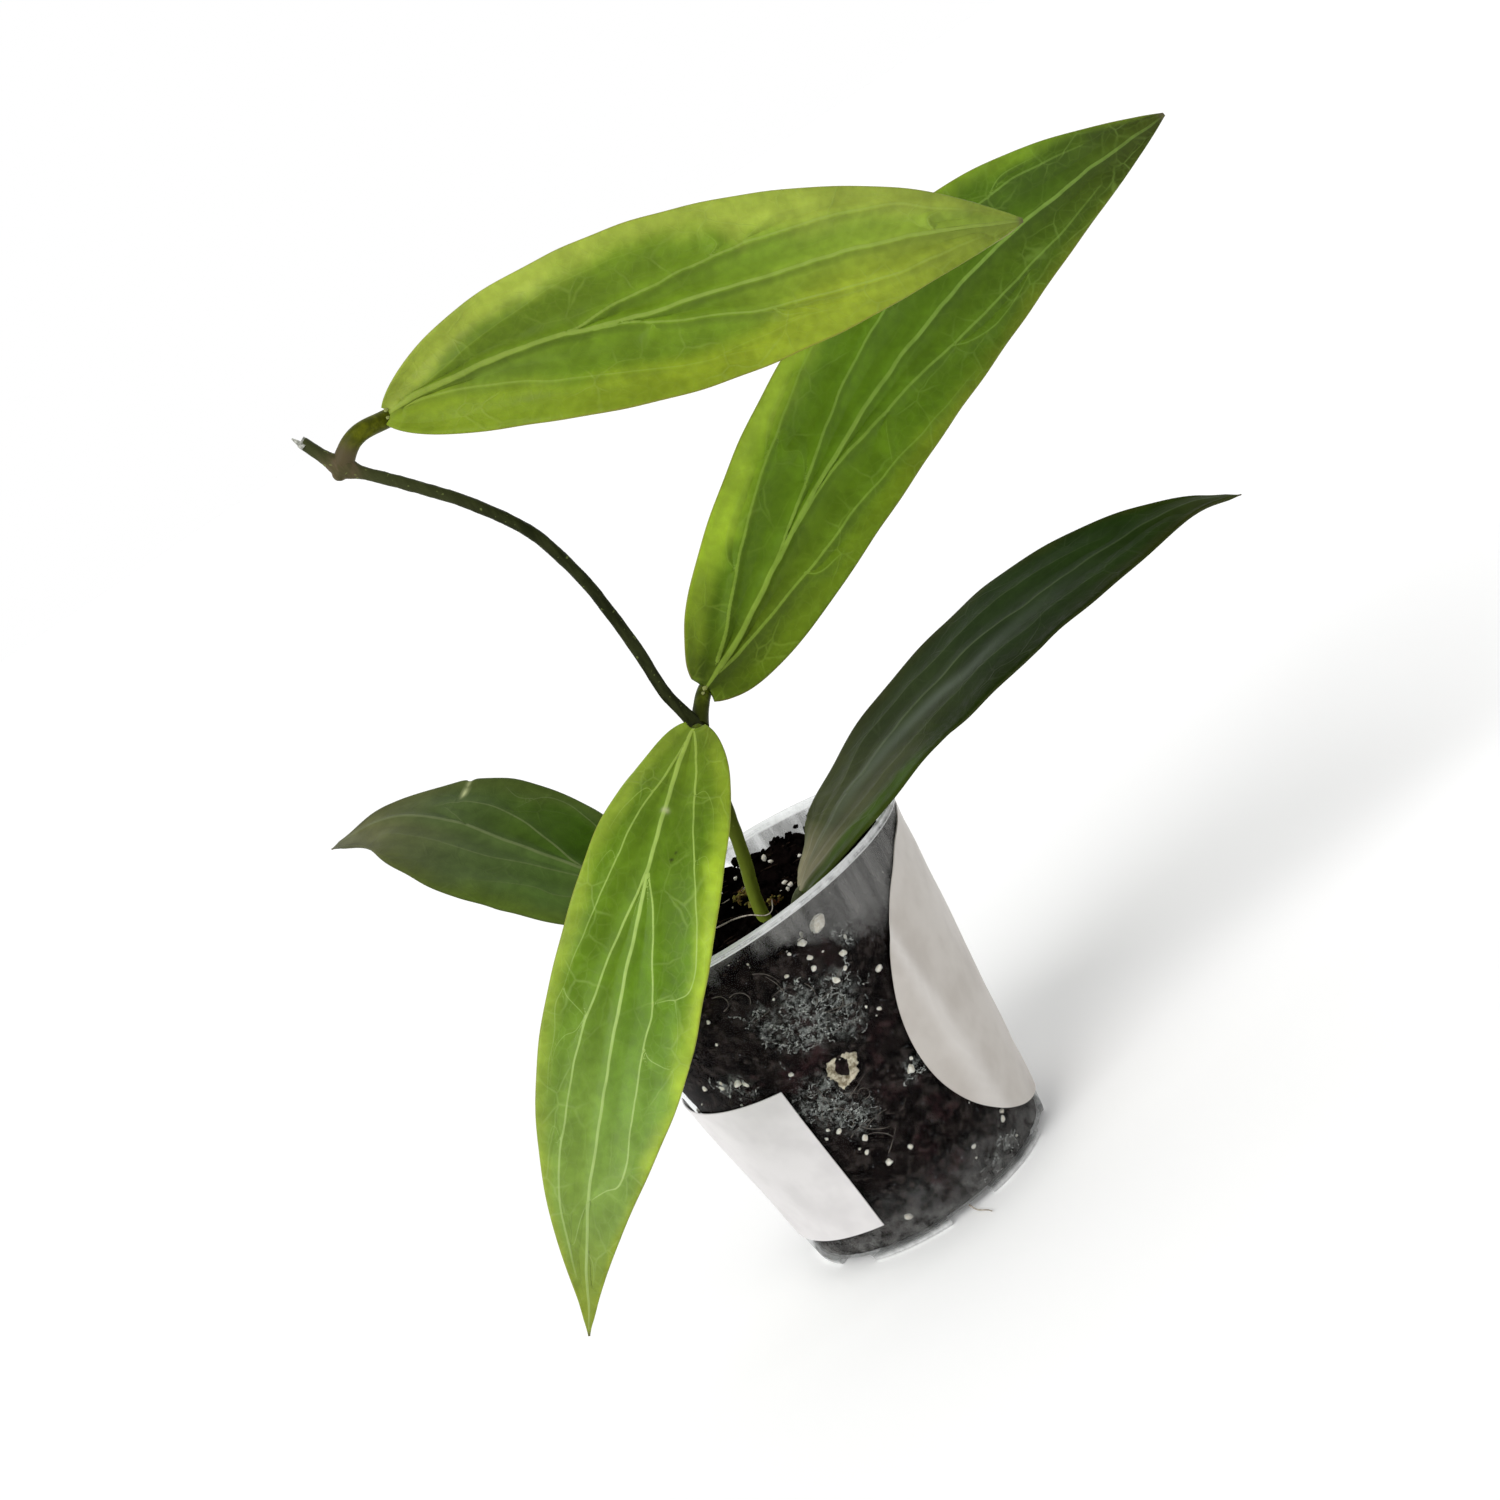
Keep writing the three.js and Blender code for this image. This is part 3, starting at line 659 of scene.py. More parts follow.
MOSS_TUFTS = [(0.9, 10.6, 53), (1.6, 9, 52.8), (0.2, 17.2, 53.9), (-1.3, 14.9, 54), (3.4, 6.4, 52.5)]
MOSS_BITS = 22
MOSS_SPREAD = 0.75
moss_places = []
for tuft in MOSS_TUFTS:
    for _ in range(MOSS_BITS):
        size = scatter.uniform(0.3, 1)
        x, y = [middle + scatter.gauss(0, MOSS_SPREAD) for middle in tuft[:2]]
        place = (x, y, tuft[2] + scatter.uniform(-0.3, 0.7))
        moss_places.append((place, (size, size * 0.5, size * 0.6), any_turn()))
moss = strewn("moss_bits", chunk("moss_bit", 2, 0.7, 41, 0.5), moss_places)
smooth(moss, 60)
moss.data.materials.append(grainy("moss_brown", "5a2e17", "85813a", 1.6, 0.9))
settle(moss, "soil")

# Fungus: white fluff that has grown in short winding threads between the soil and the wall, and
# shows through the plastic.

THREAD_STEP = 0.24
THREAD_LONGEST = 12
THREAD_BEND = 0.7
THREAD_DEPTH = 0.02

tuft_places = []
for angle, height, spread, count in FUNGUS:
    lean = scatter.uniform(-0.5, 0.5)
    for _ in range(count):
        turn = scatter.gauss(0, spread * 0.95)
        rise = lean * turn + scatter.gauss(0, spread * 0.5)
        heading = scatter.uniform(0, 2 * math.pi)
        for _ in range(scatter.randrange(3, THREAD_LONGEST)):
            heading += scatter.gauss(0, THREAD_BEND)
            turn += THREAD_STEP * math.cos(heading)
            rise += THREAD_STEP * math.sin(heading)
            size = scatter.triangular(0.09, 0.42, 0.12)
            around = angle + math.degrees(turn / inside(height))
            place = wall_place(around, max(height + rise, SOIL_FLOOR + 0.5), THREAD_DEPTH)
            tuft_places.append((place, (size * 1.7, size * 0.6, size * 0.5), any_turn()))
fungus = strewn("fungus_tufts", chunk("tuft", 1, 0.9, 57), tuft_places)
smooth(fungus, 60)
fungus.data.materials.append(grainy("fungus_white", "777a79", "dcddd7", 0.5, 0.95))
settle(fungus, "soil")

# Root threads: thin whitish roots over the soil in front of the stem, one from a drain slot, and
# fine hair roots that run along the wall.

ROOT_THREADS = [
    [(-9, 12.6, 53), (-5.6, 10.8, 53), (-3, 8.6, 53.2), (-0.6, 5, 53.3), (1.6, 0.6, 53),
     (3, -0.4, 53.4), (3.9, 0.6, 54.6)],
    [(9, 16, 52.9), (6, 19, 53.4), (2, 20, 53.9), (-3, 18, 54.2), (-6, 19, 54.4)],
    [(3.4, -21.4, 0.9), (3.7, -22.6, 0.7), (4.2, -24, 0.5), (5.4, -25.4, 0.25), (6, -27, 0.3)],
]
ROOT_RADIUS = 0.17
ROOT_TAPER = 0.08
HAIR_ROOTS = [  # angle, height and number
    (-97, 26, 7),
    (-103, 24, 6),
    (-104, 50, 7),
    (-84, 42, 5),
    (40, 30, 10),
    (130, 34, 10),
]
HAIR_RADIUS = 0.055
HAIR_TAPER = 0.02
HAIR_STOPS = 6
HAIR_TURN_STEP = 2.1
HAIR_RISE_STEP = 0.9
HAIR_TOP = 55


def smooth_route(stops, shares):
    """Points and directions at shares of the length of a smooth curve through stops, and its length."""
    stops = np.array(stops, float)
    padded = np.vstack([2 * stops[0] - stops[1], stops, 2 * stops[-1] - stops[-2]])

    def at(travel):
        travel = np.clip(travel, 0, 1) * (len(stops) - 1)
        leg = np.minimum(travel.astype(int), len(stops) - 2)
        t = (travel - leg)[:, None]
        before, start, end, after = (padded[leg + step] for step in range(4))
        held = (2 * t**3 - 3 * t**2 + 1) * start + (3 * t**2 - 2 * t**3) * end
        return held + (t**3 - 2 * t**2 + t) * (end - before) / 2 + (t**3 - t**2) * (after - start) / 2

    fine = np.linspace(0, 1, 801)
    run = np.r_[0, np.cumsum(np.linalg.norm(np.diff(at(fine), axis=0), axis=1))]
    travel = np.interp(np.asarray(shares) * run[-1], run, fine)
    ahead = at(travel + 1e-3) - at(travel - 1e-3)
    return at(travel), ahead / np.linalg.norm(ahead, axis=1)[:, None], run[-1]


def tube(name, stops, steps, radius_at, roundness=3):
    """A closed tube through the stops, radius_at(shares, points) mm thick."""
    shares = np.linspace(0, 1, steps + 1)
    points, _, _ = smooth_route(stops, shares)
    nothing_selected()
    bpy.ops.curve.primitive_nurbs_path_add()
    piece = bpy.context.object
    piece.name = name
    line = piece.data
    line.splines.clear()
    spline = line.splines.new("POLY")
    spline.points.add(steps)
    for stop, point, radius in zip(spline.points, points * MM, radius_at(shares, points) * MM):
        stop.co = (*point, 1)
        stop.radius = radius
    line.bevel_depth = 1
    line.bevel_resolution = roundness
    line.use_fill_caps = True
    bpy.ops.object.convert(target="MESH")
    return bpy.context.object


def joined(name, pieces):
    """Several pieces as one."""
    nothing_selected()
    for piece in pieces:
        piece.select_set(True)
    bpy.context.view_layer.objects.active = pieces[0]
    bpy.ops.object.join()
    bpy.context.object.name = name
    return bpy.context.object


threads = []
for stops in ROOT_THREADS:
    thread = tube("thread", stops, 60, lambda shares, points: ROOT_RADIUS - ROOT_TAPER * shares, 1)
    threads.append(thread)
roots = joined("root_threads", threads)
smooth(roots)
roots.data.materials.append(grainy("root_skin", "8f8478", "cfc6b8", 1.5, 0.7))
settle(roots, "soil")

hairs = []
for angle, height, count in HAIR_ROOTS:
    for _ in range(count):
        turn, rise = angle + scatter.gauss(0, 7), height + scatter.gauss(0, 3)
        heading, bend = scatter.gauss(0, 0.8), scatter.gauss(0, 0.35)
        stops = []
        for _ in range(HAIR_STOPS):
            stops.append(wall_place(turn, min(rise, HAIR_TOP), scatter.uniform(-0.12, 0.05)))
            turn += math.cos(heading) * HAIR_TURN_STEP
            rise += math.sin(heading) * HAIR_RISE_STEP
            heading += bend
        hair = tube("hair", stops, 14, lambda shares, points: HAIR_RADIUS - HAIR_TAPER * shares, 0)
        hairs.append(hair)
hair_roots = joined("hair_roots", hairs)
smooth(hair_roots)
hair_roots.data.materials.append(grainy("hair_root_skin", "4f4642", "8a8178", 1.5, 0.85))
settle(hair_roots, "soil")

# Labels: two stickers on the wall, a large round one of satin film on the right and a plain
# rectangular one of paper at the left. Both are bare.

ROUND_LABEL_RADIUS = 26.6
ROUND_LABEL_HEIGHT = 31
ROUND_LABEL_ANGLE = math.radians(-8)
PLAIN_LABEL_WIDTH = 30
PLAIN_LABEL_BOTTOM = 6
PLAIN_LABEL_TOP = 34.7
PLAIN_LABEL_ANGLE = math.radians(-149)
LABEL_LIFT = 0.26
LABEL_THICKNESS = 0.2
LABEL_RIPPLE = 0.1
INSET_RINGS = 17
INSET_STEP = 1.5
CREASE_PLACE = -20
CREASE_SLANT = -0.16
CREASE_HEIGHT = 0.3
DIMPLE_PLACE = (-17.2, -1)
DIMPLE_DEPTH = 0.12
DIMPLE_RADIUS = 0.7


def wrapped(label, centre, middle, wide_at):
    """Lays a flat label, drawn in X and Y, round the wall at an angle and a height."""
    x, y, lift = points_of(label).T
    height = middle + y
    angle = centre + x / wide_at(height)
    ripple = LABEL_RIPPLE * np.sin(0.5 * x + 0.012 * y**2) * np.sin(0.21 * y)
    reach = wall_radius(height) + LABEL_LIFT + ripple + lift
    put_points(label, np.column_stack([np.cos(angle) * reach, np.sin(angle) * reach, height]))
    with_modifier(label, "SOLIDIFY", thickness=LABEL_THICKNESS * MM, offset=0)
    smooth(label, 50)


def label_stock(name, colour, shade, roughness, sheen):
    """Sticker paper or film: nearly one colour, faintly clouded, with a stripe of painted highlight
    where it is creased.
    """
    material, tree = new_finish(name)
    place = object_place(tree)
    clouds = eased(tree, speckle(tree, place, 9, 3), 0.35, 0.7)
    tone = blended(tree, clouds, paint(colour), paint(shade))
    # A stripe of painted highlight where the film is creased.
    tone = mixed_in(tree, tone, "ece8e4", stored(tree, "crease_highlight"), 0.55)
    coat = {"Coat Weight": sheen, "Coat Roughness": 0.25}
    skinned(tree, tone, roughness, speckle(tree, place, 0.25, 3), 0.12, 0.1, coat)
    return material


nothing_selected()
bpy.ops.mesh.primitive_circle_add(vertices=144, radius=ROUND_LABEL_RADIUS * MM, fill_type="NGON")
round_label = bpy.context.object
round_label.name = "round_label"
bpy.ops.object.mode_set(mode="EDIT")
for _ in range(INSET_RINGS):
    bpy.ops.mesh.inset(thickness=INSET_STEP * MM)
bpy.ops.object.mode_set(mode="OBJECT")
slant = math.atan((WALL_TOP_RADIUS - WALL_FOOT_RADIUS) / WALL_HEIGHT)
flat_label = points_of(round_label)
flat_label[:, 1] *= math.cos(slant)
crease_away = flat_label[:, 0] - CREASE_PLACE - CREASE_SLANT * flat_label[:, 1]
crease_width = np.interp(flat_label[:, 1], (-20, 12), (2.6, 1.1))
flat_label[:, 2] = CREASE_HEIGHT * np.exp(-((crease_away / crease_width) ** 2))
dimple_away = np.hypot(flat_label[:, 0] - DIMPLE_PLACE[0], (flat_label[:, 1] - DIMPLE_PLACE[1]) / 2)
flat_label[:, 2] -= DIMPLE_DEPTH * np.exp(-((dimple_away / DIMPLE_RADIUS) ** 2))
put_points(round_label, flat_label)
# The stripe of painted highlight along the film's creased fold; the raised fold itself is real relief.
keep_values(round_label, "crease_highlight", np.exp(-((crease_away / crease_width) ** 2)))
wrapped(round_label, ROUND_LABEL_ANGLE, ROUND_LABEL_HEIGHT, wall_radius)
round_label.data.materials.append(label_stock("label_film", "cbc5be", "bdb6ae", 0.45, 0.25))
settle(round_label, "label_film", "label_round")

nothing_selected()
bpy.ops.mesh.primitive_grid_add(x_subdivisions=72, y_subdivisions=48, size=1)
plain_label = bpy.context.object
plain_label.name = "plain_label"
plain_middle = (PLAIN_LABEL_BOTTOM + PLAIN_LABEL_TOP) / 2
plain_size = (PLAIN_LABEL_WIDTH, PLAIN_LABEL_TOP - PLAIN_LABEL_BOTTOM, 1)
put_points(plain_label, points_of(plain_label) * MM * plain_size)
wrapped(plain_label, PLAIN_LABEL_ANGLE, plain_middle, lambda height: wall_radius(plain_middle))
plain_label.data.materials.append(label_stock("label_paper", "e6e3e3", "d9d6d6", 0.7, 0))
settle(plain_label, "label_paper", "label_plain")

# Stem: one thin olive-green shoot, greener and dotted near the soil, swollen where leaves grow.
# A leaf was lost at the upper node, and the tip above it is cut off.

STEM_ROUTE = [
    (1.8, 4.5, 42),
    (1.2, 4, 52.8),
    (3.8, 0.8, 62.6),
    (5.6, -2.3, 70.1),
    (7.8, -5.3, 79.2),
    (9.4, -7, 86.6),
    (8.3, -7, 94),
    (8.4, -7, 102),
    (7.8, -7, 113.7),
    (6.1, -7, 122.7),
    (4, -7, 128.3),
    (-1, -7.5, 136.2),
    (-7.2, -8, 143.7),
    (-13.3, -8, 150.7),
    (-16.3, -8, 157),
]
STEM_NODES = [  # place, how much thicker, and over what reach
    ((1.5, 4.3, 46.5), 0.8, 2.2),
    ((9.3, -6.9, 86), 0.5, 2),
    ((-13.3, -8, 150.7), 0.85, 1.9),
]
STEM_RADIUS = 1.15
STEM_TAPER = 0.15
STEM_GREEN_TOP = 85
STEM_GREEN_FULL = 50
STEM_DULL_START = 125
STEM_DULL_FULL = 150
NODE_BROWN_START = 120
NODE_BROWN_FULL = 140
STEM_ROUGHNESS = 0.42
STEM_GLOSS = 0.06
STEM_VOXEL = 0.17
KNOT_REACH = 2.6
SCAR_POINT = (-14.3, -8, 150)
SCAR_RADIUS = 1.15


def stem_radius(shares, points):
    """Radius along the stem, thicker below the first node and at each node."""
    higher = np.clip((points[:, 2] - 80) / 15, 0, 1)
    radius = STEM_RADIUS - STEM_TAPER * higher**2 * (3 - 2 * higher)
    for place, extra, reach in STEM_NODES:
        radius = radius + extra * np.exp(-((np.linalg.norm(points - place, axis=1) / reach) ** 2))
    return radius


def knot_closeness(points):
    """How near each point is to a node of the stem above the soil, from 0 to 1."""
    close = np.zeros(len(points))
    for place, _, _ in STEM_NODES[1:]:
        away = np.linalg.norm(points - place, axis=1)
        close = np.maximum(close, np.exp(-((away / KNOT_REACH) ** 2)))
    return close


def stem_skin():
    """Waxy dark olive skin, finely streaked along the shoot, with pale dots and brown nodes."""
    material, tree = new_finish("stem_skin")
    place = object_place(tree)
    height = add(tree, "SeparateXYZ", {0: place}).outputs[2]
    streaks = speckle(tree, place, 1.2, 4, stretch=(1, 1, 0.25))
    colour = blended(tree, eased(tree, streaks, 0.35, 0.7), paint("1b1f09"), paint("2d3217"))
    green = eased(tree, height, STEM_GREEN_TOP * MM, STEM_GREEN_FULL * MM)
    colour = mixed_in(tree, colour, "8c9d36", green, 0.85)
    dull = eased(tree, height, STEM_DULL_START * MM, STEM_DULL_FULL * MM)
    colour = mixed_in(tree, colour, "4d5230", dull, 0.5)
    brown = blended(tree, eased(tree, streaks, 0.4, 0.7), paint("5b5238"), paint("77604f"))
    high = eased(tree, height, NODE_BROWN_START * MM, NODE_BROWN_FULL * MM)
    high_knot = times(tree, stored(tree, "knot"), high)
    colour = blended(tree, times(tree, high_knot, 0.9), colour, brown)
    dots = eased(tree, speckle(tree, place, 0.8, 1), 0.68, 0.74)
    colour = mixed_in(tree, colour, "7d8a4c", dots, 0.45)
    skinned(tree, colour, STEM_ROUGHNESS, streaks, 0.35, 0.3, {"Specular IOR Level": STEM_GLOSS})
    return material


stem = tube("stem", STEM_ROUTE, 240, stem_radius, 6)
nothing_selected()
bpy.ops.mesh.primitive_ico_sphere_add(subdivisions=4, radius=SCAR_RADIUS * MM)
scar = bpy.context.object
put_points(scar, points_of(scar) + SCAR_POINT)
stem = joined("stem_shoot", [stem, scar])
with_modifier(stem, "REMESH", mode="VOXEL", voxel_size=STEM_VOXEL * MM)
with_modifier(stem, "SMOOTH", factor=0.6, iterations=6)
stem_points = points_of(stem)
stem_normals = np.array([v.normal for v in stem.data.vertices])
stem_relief = 0.07 * rough(stem_points * (1, 1, 0.35), 1.4)
stem_relief += 0.12 * knot_closeness(stem_points) * rough(stem_points + 20, 0.9)
put_points(stem, stem_points + stem_normals * stem_relief[:, None])
keep_values(stem, "knot", knot_closeness(stem_points))
smooth(stem)
stem.data.materials.append(stem_skin())
settle(stem, "stem", "stem")

# Cut end: the pale pith that cutting the shoot has left bare at the stem's tip. It has dried a
# little hollow, and a torn sliver of skin still stands beside it.

PITH_RADIUS = 0.92
PITH_HEIGHT = 0.35
PITH_SUNK = 0.12
SLIVER_ROUTE = [(-16.4, -8.6, 156.3), (-16.8, -8.7, 157.4), (-17.2, -8.7, 158.3)]
SLIVER_RADIUS = 0.5
SLIVER_TIP_RADIUS = 0.12

cut_end, cut_ahead, _ = smooth_route(STEM_ROUTE, [1])
cut_axis = Vector(cut_ahead[0])
nothing_selected()
bpy.ops.mesh.primitive_circle_add(vertices=40, radius=PITH_RADIUS * MM, fill_type="NGON")
pith = bpy.context.object
pith.name = "cut_pith"
bpy.ops.object.mode_set(mode="EDIT")
bpy.ops.mesh.extrude_region_move(TRANSFORM_OT_translate={"value": (0, 0, PITH_HEIGHT * MM)})
bpy.ops.mesh.inset(thickness=0.12 * MM)
bpy.ops.mesh.inset(thickness=0.2 * MM)
bpy.ops.transform.translate(value=(0, 0, -0.08 * MM))
bpy.ops.mesh.inset(thickness=0.3 * MM)
bpy.ops.transform.translate(value=(0, 0, 0.05 * MM))
bpy.ops.object.mode_set(mode="OBJECT")
stand = cut_axis.to_track_quat("Z", "Y").to_matrix().to_4x4()
pith.data.transform(Matrix.Translation((Vector(cut_end[0]) - cut_axis * PITH_SUNK) * MM) @ stand)
sliver = tube(
    "sliver",
    SLIVER_ROUTE,
    16,
    lambda shares, points: SLIVER_RADIUS * (1 - shares) + SLIVER_TIP_RADIUS,
    2,
)
pith = joined("cut_pith", [pith, sliver])
smooth(pith, 35)
pith.data.materials.append(grainy("pith", "7f8078", "c3c4ba", 0.4, 0.75))
settle(pith, "stem")

# Leaves: five thick, waxy, lance-shaped blades. Their side veins run from the base to the tip
# beside the midrib and loop together, and young ones have a wide yellow-green margin. Each
# stalk ends behind its blade's base, and goes on as the midrib.

LEAF_THICKNESS = 1.25
LEAF_ALONG_STEP = 0.36
LEAF_ACROSS_STEP = 0.24
LEAF_FIRST_SHARE = 0.004
LEAF_LAST_SHARE = 0.996
FOLD_SOFTNESS = 0.14
LOBE_REACH = 0.05
FLAT_PER_UV = 160
EDGE_RIPPLE = 0.008
VEIN_STRAY = 0.3
PUFF_HEIGHT = 0.3
PUFF_REACH = 0.9
VEIN_HEIGHT = 0.12
SAG_DEPTH = 0.28
SAG_REACH = 2.2
STRAY_HEIGHT = 0.12
SWAY_HEIGHT = 0.2
PAINTED_SHEEN_RADIUS = 1.7
# Painted light on one flank of each raised vein, and painted shade on the other.
RIDGE_PAINTED_LIGHT = 0.16
FURROW_PAINTED_SHADE = 0.42
STALK_STEPS = 60
LEAF_MARKS = {"pale": ("bcc28e", 1), "dark": ("26220f", 1), "fleck": ("4f7a18", 0.25)}
